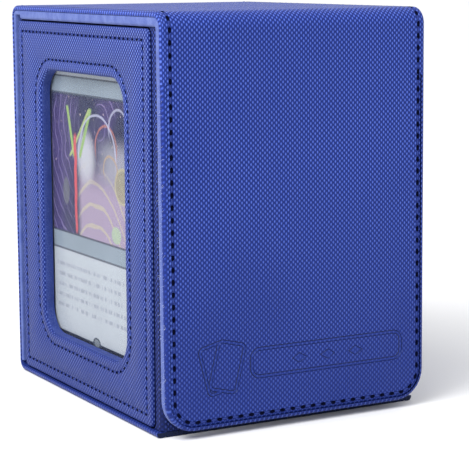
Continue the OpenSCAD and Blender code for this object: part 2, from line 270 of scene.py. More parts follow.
class Shader:
    """One material's node tree, built from expressions."""

    def __init__(self, name: str) -> None:
        """Starts an empty material.

        Args:
            name: The material's name.
        """
        self.material = bpy.data.materials.new(name)
        self.material.use_nodes = True
        self.tree = self.material.node_tree
        self.tree.nodes.clear()

    def node(
        self, kind: str, settings: dict[str, Any] | None = None,
        sockets: dict[Any, Any] | None = None,
    ) -> bpy.types.Node:
        """Adds a node.

        Args:
            kind: The node's type without its ShaderNode prefix.
            settings: Attributes that are set first, such as an operation.
            sockets: Values or links by the socket's identifier, name or index.

        Returns:
            The new node.
        """
        made = self.tree.nodes.new("ShaderNode" + kind)
        for name, value in (settings or {}).items():
            setattr(made, name, value)
        for key, value in (sockets or {}).items():
            named = None if isinstance(key, int) else next(
                (s for s in made.inputs if s.identifier == key), None
            )
            socket = named or made.inputs[key]
            source = value.socket if isinstance(value, Value) else value
            if isinstance(source, Socket):
                self.tree.links.new(source, socket)
            else:
                socket.default_value = source
        return made

    def math(self, operation: str, *inputs: Number) -> Value:
        """A Math node on its inputs."""
        made = self.node("Math", {"operation": operation}, dict(enumerate(inputs)))
        return Value(self, made.outputs[0])

    def mix(self, factor: Number, first: Any, second: Any) -> Socket:
        """Mixes two colours.

        Args:
            factor: 0 gives the first colour and 1 the second.
            first: A colour or a link to one.
            second: A colour or a link to one.

        Returns:
            The mixed colour.
        """
        made = self.node(
            "Mix", {"data_type": "RGBA"},
            {"Factor_Float": factor, "A_Color": first, "B_Color": second},
        )
        return next(s for s in made.outputs if s.identifier == "Result_Color")

    def split(self, place: Socket) -> tuple[Value, Value, Value]:
        """The three parts of a vector."""
        parts = self.node("SeparateXYZ", None, {0: place})
        return tuple(Value(self, part) for part in parts.outputs)

    def object_point(self) -> tuple[Value, ...]:
        """The point's place in millimetres, as x, y and z."""
        place = self.node("TexCoord").outputs["Object"]
        return tuple(part * (1 / MM) for part in self.split(place))

    def cloth_point(self) -> tuple[Value, ...]:
        """The point's place on the unrolled cloth in millimetres."""
        return self.split(self.node("UVMap", {"uv_map": "cloth"}).outputs[0])[:2]

    def noise(
        self, scale: float, detail: float = 2.0, stretch: Triple = (1, 1, 1), shift: float = 0.0
    ) -> Value:
        """Soft noise on the piece's own coordinates.

        Args:
            scale: Waves per metre.
            detail: Octaves of finer noise.
            stretch: How much finer it is along each axis.
            shift: Moves to another part of the noise.

        Returns:
            Noise from 0 to 1.
        """
        place = self.node("TexCoord").outputs["Object"]
        moved = self.node("Mapping", None, {
            "Vector": place, "Scale": stretch, "Location": (shift, shift, shift),
        })
        made = self.node("TexNoise", None, {
            "Vector": moved.outputs[0], "Scale": scale, "Detail": detail,
        })
        return Value(self, made.outputs[0])

    def bump(self, height: Number, rise: float, after: Socket | None = None) -> Socket:
        """Raises the surface's normal.

        Args:
            height: The shape, from 0 to 1.
            rise: How high 1 stands, in metres.
            after: A normal that this one adds to.

        Returns:
            The raised normal.
        """
        sockets = {"Height": height, "Distance": rise, "Strength": 1.0}
        if after is not None:
            sockets["Normal"] = after
        return self.node("Bump", None, sockets).outputs[0]

    def principled(self, tone: Any, roughness: Number, normal: Socket | None = None,
                   **same: Any) -> Socket:
        """A Principled surface.

        Args:
            tone: Its base colour.
            roughness: Its roughness.
            normal: Its normal, if it has a relief.
            same: What is the same all over, by the socket's name with _ for a space.

        Returns:
            The surface.
        """
        sockets = {"Base Color": tone, "Roughness": roughness}
        if normal is not None:
            sockets["Normal"] = normal
        sockets.update({name.replace("_", " "): value for name, value in same.items()})
        return self.node("BsdfPrincipled", None, sockets).outputs[0]

    def finish(self, surface: Socket) -> bpy.types.Material:
        """Ends the tree with this surface and returns the material."""
        self.node("OutputMaterial", None, {"Surface": surface})
        return self.material


# ---- Finishes ----


class Grain(Enum):
    """Which coordinates a weave follows."""

    CLOTH = "unrolled cloth"
    WALL = "upright wall"


@dataclass(frozen=True)
class Finish:
    """How one material of the box looks."""

    name: str
    slot: str

    def surface(self, s: Shader) -> Socket:
        """The finish's surface in the material s."""
        raise NotImplementedError

    def build(self) -> bpy.types.Material:
        """Makes the material."""
        s = Shader(self.name)
        return s.finish(self.surface(s))

    def dress(self, piece: Object) -> None:
        """Gives the piece this finish all over.

        Args:
            piece: A CAD node or a new piece.
        """
        material = made_once(self)
        if piece.material_slots:
            for place in piece.material_slots:
                place.material = material
        else:
            piece.data.materials.append(material)


@lru_cache(maxsize=None)
def made_once(finish: Finish) -> bpy.types.Material:
    """The finish's material, made the first time it is asked for."""
    return finish.build()


@dataclass(frozen=True)
class Press:
    """The pressed emblem: two fanned blank cards beside a blank plate. Sizes in millimetres."""

    left: float
    low: float
    card: Point = (8.06, 13.0)
    card_round: float = 1.2
    fan: float = 14.0
    aside: float = 1.5
    line: float = 0.85
    soft: float = 0.16
    plate: Point = (48.0, 7.5)
    gap: float = 2.4
    lozenge: Point = (2.2, 1.3)
    lozenge_step: float = 9.0

    @staticmethod
    def away(u: Value, v: Value, size: Point, radius: float) -> Value:
        """Distance outside a centred rectangle with round corners.

        Args:
            u: Distance to the right of its middle.
            v: Distance above its middle.
            size: Its width and height.
            radius: Its corners' radius.

        Returns:
            The distance, negative inside.
        """
        over = abs(u) - (size[0] / 2 - radius)
        above = abs(v) - (size[1] / 2 - radius)
        outside = distance(over.most(0.0), above.most(0.0))
        return outside + over.most(above).least(0.0) - radius

    def drawn(self, away: Value) -> Value:
        """The line along which a distance is zero."""
        return abs(away).step(self.line / 2 + self.soft, self.line / 2 - self.soft)

    def depth(self, u: Value, v: Value) -> Value:
        """How far the cloth is pressed in at a point of the flap.

        Args:
            u: Distance from the middle of the flap, in millimetres.
            v: Height above the ground, in millimetres.

        Returns:
            1 in a pressed line and 0 beside it.
        """
        tall = self.card[1]
        card_u, card_v = u - (self.left + tall / 2), v - (self.low + tall / 2)
        marks = []
        for sign in (1, -1):
            angle = math.radians(sign * self.fan)
            c, s = math.cos(angle), math.sin(angle)
            moved = card_u + self.aside * sign
            turned = (moved * c + card_v * s, card_v * c - moved * s)
            marks.append(self.away(*turned, self.card, self.card_round))
        back, front = marks
        pressed = (self.drawn(back) * front.step(0.1, 0.4)).most(self.drawn(front))
        plate_u = u - (self.left + tall + self.gap + self.plate[0] / 2)
        plate = self.away(plate_u, card_v, self.plate, self.plate[1] / 3)
        pressed = pressed.most(self.drawn(plate))
        wide, high_by = self.lozenge
        for i in (-1, 0, 1):
            across = abs(plate_u - self.lozenge_step * i) * (1 / wide)
            pressed = pressed.most((across + abs(card_v) * (1 / high_by)).step(1.12, 0.92))
        return pressed


@dataclass(frozen=True)
class Weave(Finish):
    """Blue leatherette with a fine raised weave of staggered dots."""

    grain: Grain = Grain.CLOTH
    # gap is painted shade in the weave's hollows; painted_crest_highlight is a painted highlight on its raised crests
    gap: Colour = (0.006, 0.016, 0.14, 1)
    body: Colour = (0.022, 0.050, 0.33, 1)
    painted_crest_highlight: Colour = (0.10, 0.17, 0.60, 1)
    # painted_press_shade is painted shade in the emblem's pressed lines
    painted_press_shade: Colour = (0.008, 0.024, 0.19, 1)
    pitch: float = 1.42
    drift: float = 0.22
    relief: float = 0.16 * MM
    press_relief: float = 0.6 * MM
    # Height in millimetres above which no painted shade darkens the cloth
    painted_shade_top: float = 84.0
    press: Press | None = None

    def surface(self, s: Shader) -> Socket:
        """Shades the cloth: painted shade in the dark gaps, blue body, a painted highlight on the pale crests, and
        painted shade that makes it a little darker lower down.

        Args:
            s: The material being made.

        Returns:
            Its surface.
        """
        x, y, z = s.object_point()
        u, v = s.cloth_point() if self.grain is Grain.CLOTH else (x + y, z)
        drift = (s.noise(220, 2) - 0.5) * self.drift
        turn = WAVE / self.pitch
        across, along = (u + drift) * turn, (v - drift) * turn
        lattice = across.cos() * along.cos()
        column = (across * 2).cos()
        raised = (lattice * 0.8 + column * 0.3).step(-0.8, 1.05)
        fibre = s.noise(5200, 2, shift=3.1)
        patch = s.noise(38, 3, shift=7.3)
        height = raised * 0.86 + fibre * 0.14
        # Painted shade darkens the gaps and a painted highlight pales the crests
        tone = s.mix(raised.step(0.1, 0.62), self.gap, self.body)
        tone = s.mix(raised.step(0.55, 1.0) * (fibre * 0.6 + 0.5), tone, self.painted_crest_highlight)
        # Random darker patches, plus painted shade that grows darker towards the ground
        dark = patch.step(0.35, 0.75) * 0.16 + z.step(self.painted_shade_top, 0.0) * 0.5
        tone = s.mix(dark, tone, self.gap)
        roughness = 0.56 - raised * 0.16 + (fibre - 0.5) * 0.1
        if self.press is not None:
            pressed = self.press.depth(u, v)
            # Painted shade darkens the pressed lines
            tone = s.mix(pressed * 0.32, tone, self.painted_press_shade)
            roughness = roughness - pressed * 0.12
            cloth = s.bump(height * (1 - pressed * 0.8), self.relief)
            normal = s.bump(1 - pressed, self.press_relief, cloth)
        else:
            normal = s.bump(height, self.relief)
        return s.principled(tone, roughness, normal, Specular_IOR_Level=0.3,
                            Specular_Tint=(0.55, 0.68, 1.0, 1))


@dataclass(frozen=True)
class Suede(Finish):
    """Smooth brushed microfibre with a soft pale bloom."""

    base: Colour = (0.050, 0.080, 0.29, 1)
    bloom: Colour = (0.12, 0.165, 0.41, 1)
    sheen: float = 0.14
    tips: Colour = (0.36, 0.43, 0.70, 1)
    relief: float = 0.07 * MM

    def surface(self, s: Shader) -> Socket:
        """Shades the nap.

        Args:
            s: The material being made.

        Returns:
            Its surface.
        """
        nap = s.noise(420, 4, (1, 1, 0.6))
        hair = s.noise(6500, 2, shift=2.2)
        brushed = nap.step(0.3, 0.72)
        tone = s.mix(brushed * 0.55, self.base, self.bloom)
        tone = s.mix(hair.step(0.45, 0.8) * 0.22, tone, self.tips)
        return s.principled(
            tone, 0.9 - brushed * 0.1, s.bump(hair * 0.6 + nap * 0.4, self.relief),
            Specular_IOR_Level=0.25, Sheen_Weight=self.sheen, Sheen_Roughness=0.5,
            Sheen_Tint=(0.75, 0.8, 1.0, 1),
        )


@dataclass(frozen=True)
class Thread(Finish):
    """Sewing thread with a fine twist, navy unless other tones are given."""

    tone: Colour = (0.010, 0.022, 0.14, 1)
    lit: Colour = (0.035, 0.065, 0.32, 1)
    twist: float = 0.34
    relief: float = 0.05 * MM

    def surface(self, s: Shader) -> Socket:
        """Shades the thread.

        Args:
            s: The material being made.

        Returns:
            Its surface.
        """
        x, y, z = s.object_point()
        twist = ((x + y + z) * (WAVE / self.twist)).cos() * 0.5 + 0.5
        fuzz = s.noise(4800, 2)
        tone = s.mix(twist * 0.6 + fuzz * 0.25, self.tone, self.lit)
        return s.principled(tone, 0.62 + fuzz * 0.15, s.bump(twist, self.relief),
                            Specular_IOR_Level=0.2)


@dataclass(frozen=True)
class Pit(Finish):
    """Painted shade: the near-black inside of a needle hole or a pressed groove."""

    deep: Colour = (0.0005, 0.001, 0.008, 1)
    shallow: Colour = (0.002, 0.004, 0.03, 1)

    def surface(self, s: Shader) -> Socket:
        """Shades the pit.

        Args:
            s: The material being made.

        Returns:
            Its surface.
        """
        dust = s.noise(5200, 2)
        tone = s.mix(dust.step(0.4, 0.8), self.deep, self.shallow)
        return s.principled(tone, 0.85 + dust * 0.1, Specular_IOR_Level=0.05)


@dataclass(frozen=True)
class Greyboard(Finish):
    """Pressed grey card with flecks and fibres."""

    dark: Colour = (0.30, 0.28, 0.25, 1)
    pale: Colour = (0.46, 0.44, 0.40, 1)
    strand: Colour = (0.60, 0.58, 0.53, 1)
    relief: float = 0.06 * MM

    def surface(self, s: Shader) -> Socket:
        """Shades the board.

        Args:
            s: The material being made.

        Returns:
            Its surface.
        """
        fleck = s.noise(1500, 4)
        fibre = s.noise(700, 3, (1, 6, 1), 4.0)
        tone = s.mix(fleck.step(0.35, 0.7), self.dark, self.pale)
        tone = s.mix(fibre.step(0.62, 0.8) * 0.4, tone, self.strand)
        return s.principled(tone, 0.82 + fleck * 0.12, s.bump(fibre, self.relief))


@dataclass(frozen=True)
class Frosted(Finish):
    """Frosted blue plastic with a fine sanded grain and a few scuffs."""

    dark: Colour = (0.045, 0.08, 0.30, 1)
    pale: Colour = (0.07, 0.115, 0.38, 1)
    scuffed: Colour = (0.30, 0.36, 0.62, 1)
    relief: float = 0.04 * MM

    def surface(self, s: Shader) -> Socket:
        """Shades the plastic.

        Args:
            s: The material being made.

        Returns:
            Its surface.
        """
        sand = s.noise(3800, 3)
        scuff = s.noise(140, 4, (1, 1, 7), 5.0).step(0.6, 0.72)
        tone = s.mix(sand.step(0.3, 0.7), self.dark, self.pale)
        tone = s.mix(scuff * 0.2, tone, self.scuffed)
        return s.principled(tone, 0.46 + sand * 0.12 + scuff * 0.1, s.bump(sand, self.relief),
                            Specular_IOR_Level=0.45)


@dataclass(frozen=True)
class Nickel(Finish):
    """Plated metal with faint smears."""

    dull: Colour = (0.60, 0.60, 0.61, 1)
    bright: Colour = (0.72, 0.71, 0.69, 1)
    relief: float = 0.02 * MM

    def surface(self, s: Shader) -> Socket:
        """Shades the plating.

        Args:
            s: The material being made.

        Returns:
            Its surface.
        """
        smear = s.noise(260, 3)
        tone = s.mix(smear, self.dull, self.bright)
        return s.principled(tone, 0.22 + smear * 0.12, s.bump(smear, self.relief), Metallic=1.0)


@dataclass(frozen=True)
class ClearFilm(Finish):
    """Clear film: see-through, with gloss that grows towards a glancing angle."""

    haze: float = 0.008
    roughness: float = 0.06
    glance: float = 0.26
    body: Colour = (0.10, 0.12, 0.18, 1)
    ripple: Colour = (0.16, 0.18, 0.24, 1)
    clear: Colour = (0.95, 0.96, 0.965, 1)
    relief: float = 0.12 * MM

    def surface(self, s: Shader) -> Socket:
        """Shades the film.

        Args:
            s: The material being made.

        Returns:
            Its surface.
        """
        ripple = s.noise(90, 2)
        edge = Value(s, s.node("LayerWeight", None, {"Blend": 0.5}).outputs["Facing"])
        gloss = s.principled(
            s.mix(ripple, self.body, self.ripple), self.roughness + ripple * 0.04,
            s.bump(ripple, self.relief), Specular_IOR_Level=0.6,
        )
        clear = s.node("BsdfTransparent", None, {"Color": self.clear}).outputs[0]
        factor = edge * edge * edge * self.glance + (self.haze + ripple * 0.01)
        return s.node("MixShader", None, {0: factor, 1: clear, 2: gloss}).outputs[0]


@dataclass(frozen=True)
class Print(Finish):
    """A blank trading card: title bar, abstract art, type bar and a text box with no text.

    Heights are in millimetres above the card's foot.
    """

    middle: float = 0.0
    base: float = 0.0
    art_box: Point = (37.7, 78.5)
    bars: tuple[Point, ...] = ((32.8, 37.7), (78.5, 83.4))
    rules: tuple[Point, ...] = ((32.3, 32.9), (37.5, 38.1), (78.1, 78.9), (83.3, 83.8))
    rows: Point = (14.0, 29.5)
    row_ends: Point = (-27.0, 24.0)
    row_step: float = 3.1
    edge: float = 0.12
    foot: float = 7.85
    badge: tuple[Point, Point] = ((0.0, 7.9), (2.5, 1.6))
    half_face: float = 29.2
    face_ends: Point = (4.8, 84.8)
    relief: float = 0.02 * MM
    bar_tones: tuple[Colour, Colour] = ((0.30, 0.34, 0.38, 1), (0.44, 0.49, 0.55, 1))
    page_tones: tuple[Colour, Colour] = ((0.63, 0.63, 0.66, 1), (0.76, 0.76, 0.79, 1))
    row_tone: Colour = (0.20, 0.20, 0.27, 1)
    rule_tone: Colour = (0.03, 0.035, 0.07, 1)
    foot_tone: Colour = (0.02, 0.022, 0.04, 1)
    badge_tones: tuple[Colour, Colour] = ((0.10, 0.11, 0.14, 1), (0.32, 0.34, 0.36, 1))
    border_tone: Colour = (0.015, 0.016, 0.03, 1)

    # Each ray's lean, its place at its foot, its width and its tone
    RAYS = (
        (-0.30, -14.0, 1.1, (0.42, 0.60, 0.14, 1)),
        (0.55, -9.0, 1.2, (0.40, 0.58, 0.16, 1)),
        (0.95, -15.0, 1.0, (0.55, 0.62, 0.22, 1)),
    )
    # Each arc's middle, its radius and its tone
    ARCS = (
        (8.0, 64.0, 7.0, (0.62, 0.20, 0.14, 1)),
        (16.0, 70.0, 6.0, (0.60, 0.56, 0.70, 1)),
        (2.0, 61.0, 12.5, (0.66, 0.62, 0.78, 1)),
        (11.0, 58.5, 4.2, (0.66, 0.42, 0.24, 1)),
    )

    @staticmethod
    def oval(a: Value, b: Value, middle: Point, size: Point) -> Value:
        """Distance from an oval's middle.

        Args:
            a: Distance to the right of the card's middle.
            b: Height above the card's foot.
            middle: The oval's middle.
            size: Its half width and half height.

        Returns:
            The distance, 1 on the oval's edge.
        """
        return distance((a - middle[0]) * (1 / size[0]), (b - middle[1]) * (1 / size[1]))

    def surface(self, s: Shader) -> Socket:
        """Shades the printed face.

        Args:
            s: The material being made.

        Returns:
            Its surface.
        """
        _, y, z = s.object_point()
        a, b = (y - self.middle) * -1.0, z - self.base
        soft = s.noise(60, 3)
        words = s.noise(900, 1, (1, 1, 0.12), 9.0).step(0.42, 0.56)
        lines = (b * (WAVE / self.row_step)).cos().step(0.15, 0.75)
        ink = lines * words * a.between(*self.row_ends, 0.6) * b.between(*self.rows, 0.4)
        page = s.mix(ink * 0.42, s.mix(soft, *self.page_tones), self.row_tone)
        face = s.mix(b.between(*self.art_box, self.edge), page, self.art(s, a, b, soft))
        bar_tone = s.mix(soft, *self.bar_tones)
        for bar in self.bars:
            face = s.mix(b.between(*bar, self.edge), face, bar_tone)
        first, *others = (b.between(*rule, self.edge) for rule in self.rules)
        for other in others:
            first = first.most(other)
        face = s.mix(first * 0.82, face, self.rule_tone)
        face = s.mix(b.step(self.foot + 0.15, self.foot - 0.15), face, self.foot_tone)
        badge = self.oval(a, b, *self.badge)
        badge, (rim, middle) = badge * badge, self.badge_tones
        face = s.mix(badge.step(1.12, 0.95), face, rim)
        face = s.mix(badge.step(0.55, 0.40), face, middle)
        soft_edge, (bottom, top) = 0.2, self.face_ends
        border = abs(a).step(self.half_face - soft_edge, self.half_face + soft_edge)
        border = border.most(b.step(top - soft_edge, top + soft_edge))
        border = border.most(b.step(bottom + soft_edge, bottom - soft_edge))
        face = s.mix(border, face, self.border_tone)
        stock = s.noise(2600, 2, shift=6.0)
        return s.principled(face, 0.38 + stock * 0.1, s.bump(stock, self.relief),
                            Specular_IOR_Level=0.12)

    def art(self, s: Shader, a: Value, b: Value, soft: Value) -> Socket:
        """Abstract art of glows, ovals, rays and arcs.

        Args:
            s: The material being made.
            a: Distance to the right of the card's middle.
            b: Height above the card's foot.
            soft: Slow noise from 0 to 1.

        Returns:
            The art's colour.
        """
        warp = s.noise(85, 2, shift=1.7) - 0.5
        night = s.mix(soft.step(0.35, 0.7), (0.008, 0.007, 0.055, 1), (0.07, 0.035, 0.17, 1))
        lit = b.step(62.0, 50.0) * a.step(-12.5, -8.0)
        web = distance(a - 4.0 + warp * 9.0, b - 70.0) * (WAVE / 3.4)
        web = web.cos().step(0.86, 0.98) * soft.step(0.40, 0.60)
        night = s.mix(web * 0.55, night, (0.42, 0.30, 0.58, 1))
        field = s.mix(lit * 0.9, night, (0.58, 0.42, 0.56, 1))
        haze = a.step(-2.0, 12.0) * b.between(55.0, 66.0, 3.5)
        field = s.mix(haze * 0.7, field, (0.60, 0.55, 0.62, 1))
        glow = self.oval(a, b, (-5.5, 61.0), (7.0, 9.0))
        field = s.mix((glow * glow).step(1.2, 0.0) * 0.8, field, (0.88, 0.82, 0.86, 1))
        curve = (a * a * 0.035 + b + warp * 5.0) * (WAVE / 6.0)
        field = s.mix(curve.cos().step(0.72, 0.95) * lit * 0.6, field, (0.78, 0.66, 0.40, 1))
        dome = self.oval(a, b, (18.5, 55.0), (1.0, 1.0))
        field = s.mix(dome.step(5.0, 4.6) * 0.8, field, (0.44, 0.37, 0.20, 1))
        field = s.mix(abs(dome - 4.8).step(0.6, 0.2) * 0.8, field, (0.66, 0.56, 0.34, 1))
        seed = self.oval(a, b, (14.0, 41.0), (3.0, 2.4))
        field = s.mix(seed.step(1.05, 0.95) * 0.8, field, (0.56, 0.68, 0.42, 1))
        for lean, foot, width, tint in self.RAYS:
            ray = abs(a - (b - 62.0) * lean - foot).step(width, width * 0.4)
            field = s.mix(ray * b.between(60.5, 75.0, 0.5), field, tint)
        for across, up, radius, tint in self.ARCS:
            u, v = a - across + warp * 3.0, b - up
            arc = abs(distance(u, v) - radius).step(0.55, 0.15) * v.step(-4.0, 1.0)
            field = s.mix(arc * 0.8, field, tint)
        stripe = abs(a + 12.6 + warp * 3.0).step(1.2, 0.45) * b.between(38.6, 67.0, 1.0)
        field = s.mix(stripe, field, (0.86, 0.10, 0.11, 1))
        lantern = self.oval(a, b, (-19.5, 50.0), (1.0, 1 / 0.55))
        field = s.mix(lantern.step(2.4, 2.0) * 0.75, field, (0.20, 0.19, 0.20, 1))
        spark = s.noise(900, 1, shift=12.0).step(0.70, 0.76)
        return s.mix(spark * 0.7, field, (0.85, 0.62, 0.55, 1))


@dataclass(frozen=True)
class Matt(Finish):
    """A plain matt backdrop with the faintest mottle."""

    tone: Colour = (0.81, 0.81, 0.815, 1)
    mottled: Colour = (0.79, 0.79, 0.795, 1)

    def surface(self, s: Shader) -> Socket:
        """Shades the backdrop."""
        tone = s.mix(s.noise(6, 3) * 0.3, self.tone, self.mottled)
        return s.principled(tone, 0.9, Specular_IOR_Level=0.1)


COVER = Weave("woven_cover", "woven_cover")
PANEL = Weave("woven_panel", "woven_panel", gap=(0.004, 0.013, 0.125, 1),
              body=(0.020, 0.041, 0.25, 1), painted_crest_highlight=(0.17, 0.24, 0.63, 1))
# A near-black copy of the woven cover: painted shadow on the base's front end under the flap
FOOT_PAINTED_SHADOW = Weave("woven_foot_painted_shadow", "woven_cover", gap=(0.001, 0.003, 0.02, 1),
             body=(0.003, 0.008, 0.055, 1), painted_crest_highlight=(0.01, 0.018, 0.10, 1))
# A darker copy of the woven cover: painted shade on the body's walls, which sit back in shadow between the panels and
# the strap
WALL = Weave("woven_wall_painted_shade", "woven_cover", grain=Grain.WALL, gap=(0.001, 0.004, 0.05, 1),
             body=(0.008, 0.020, 0.16, 1), painted_crest_highlight=(0.06, 0.10, 0.42, 1))
SUEDE = Suede("suede_lining", "suede_lining")
# A darker copy of the suede lining with less sheen: painted shade inside the window's opening
JAMB_PAINTED_SHADE = Suede("jamb_lining_painted_shade", "suede_lining", (0.010, 0.026, 0.16, 1), (0.022, 0.045, 0.22, 1), 0.05)
THREAD = Thread("thread", "thread")
LINT = Thread("lint", "thread", (0.42, 0.48, 0.74, 1), (0.62, 0.68, 0.86, 1))
# Near-black painted shade for needle holes and crease lines
PIT_PAINTED_SHADE = Pit("needle_hole_painted_shade", "thread")
BOARD = Greyboard("greyboard", "greyboard")
FROSTED = Frosted("divider_plastic", "divider_plastic")
NICKEL = Nickel("magnet", "magnet")
PANE = ClearFilm("clear_pane", "clear_pane")
FILM = ClearFilm("clear_sleeve", "clear_sleeve", haze=0.004, roughness=0.12)


# ---- Shaping ----


class Side(Enum):
    """The face of the box that a drawing lies on, as the directions of its axes."""

    LEFT = ((0, -1, 0), (0, 0, 1), (-1, 0, 0))
    RIGHT = ((0, 1, 0), (0, 0, 1), (1, 0, 0))
    FRONT = ((1, 0, 0), (0, 0, 1), (0, -1, 0))
    BACK = ((-1, 0, 0), (0, 0, 1), (0, 1, 0))
    TOP = ((1, 0, 0), (0, 1, 0), (0, 0, 1))

    def at(self, out: float) -> Matrix:
        """Places a drawing on this face, out from the box's middle by out."""
        turn = Matrix([Vector(axis) for axis in self.value]).transposed().to_4x4()
        return Matrix.Translation(Vector(self.value[2]) * out) @ turn


@dataclass(frozen=True)
class Outline:
    """A rectangle with round corners; a hem has an open, square top edge."""

    across: float
    up: float
    width: float
    height: float
    radius: float
    hem: bool = False

    LEAST_RADIUS = 0.04 * MM

    def inset(self, by: float) -> "Outline":
        """The outline drawn in by a distance; a hem keeps its top where it is.

        Args:
            by: How far, or less than 0 to draw it out.

        Returns:
            The new outline.
        """
        radius = max(self.radius - by, self.LEAST_RADIUS)
        up, height = self.up, self.height - 2 * by
        if self.hem:
            up, height = self.up + by / 2, self.height - by
        return Outline(self.across, up, self.width - 2 * by, height, radius, self.hem)

    def top(self) -> float:
        """A height just below the outline's top edge."""
        return self.up + self.height / 2 - 1e-6

    def walk(self, pitch: float) -> list[Triple]:
        """Even half steps along the outline.

        Args:
            pitch: About how far apart the whole steps are.

        Returns:
            The place and heading of each half step, as across, up and an angle.
        """
        w, h, r = self.width / 2, self.height / 2, self.radius
        runs: list[tuple[float, Callable[[float], Triple]]] = []

        def line(x: float, y: float, heading: float, length: float) -> None:
            """Adds a straight run from x, y."""
            c, s = math.cos(heading), math.sin(heading)
            runs.append((length, lambda d: (x + c * d, y + s * d, heading)))

        def bend(x: float, y: float, start: float) -> None:
            """Adds a left-hand quarter turn about x, y.

            Args:
                x: Its middle, across.
                y: Its middle, up.
                start: The way from its middle to its start, as an angle.
            """
            def place(d: float) -> Triple:
                """The place and heading after a distance."""
                a = start + d / r
                return x + r * math.cos(a), y + r * math.sin(a), a + QUARTER

            runs.append((QUARTER * r, place))

        top = h if self.hem else h - r
        line(-w, top, -QUARTER, top + h - r)
        bend(-w + r, -h + r, math.pi)
        line(-w + r, -h, 0.0, 2 * (w - r))
        bend(w - r, -h + r, -QUARTER)
        line(w, -h + r, QUARTER, top + h - r)
        if not self.hem:
            bend(w - r, h - r, 0.0)
            line(w - r, h, math.pi, 2 * (w - r))
            bend(-w + r, h - r, QUARTER)
        total = sum(length for length, _ in runs)
        count = 2 * round(total / pitch)
        steps = []
        for i in range(count):
            d = (i + 0.5) * total / count
            for length, place in runs:
                if d <= length:
                    x, y, heading = place(d)
                    steps.append((x + self.across, y + self.up, heading))
                    break
                d -= length
        return steps


@dataclass(frozen=True)
class Ring:
    """One loop of a plate: an outline, drawn in, at a height above its base."""

    outline: Outline
    inset: float
    height: float


def nest(outline: Outline, profile: Profile, sign: int = 1) -> list[Ring]:
    """Rings on one outline.

    Args:
        outline: What they are drawn in from.
        profile: Each ring's inset and height.
        sign: -1 draws them out instead.

    Returns:
        The rings.
    """
    return [Ring(outline, sign * inset, height) for inset, height in profile]


@dataclass(frozen=True)
class Groove:
    """The channel that a row of stitches lies in."""

    half: float
    floor: float
    depth: float

    def offsets(self) -> tuple[float, ...]:
        """Its edges and the edges of its floor, across from its middle."""
        return (-self.half, -self.floor, self.floor, self.half)

    def profile(self, at: float, face: float = 0.0) -> list[tuple[float, float]]:
        """Its inset and height at each edge, at a distance in on a face."""
        depths = (0.0, self.depth, self.depth, 0.0)
        return [(at + off, face - down) for off, down in zip(self.offsets(), depths)]


STRAP_GROOVE = Groove(0.48 * MM, 0.20 * MM, 0.22 * MM)
PANEL_GROOVE = Groove(0.50 * MM, 0.22 * MM, 0.20 * MM)


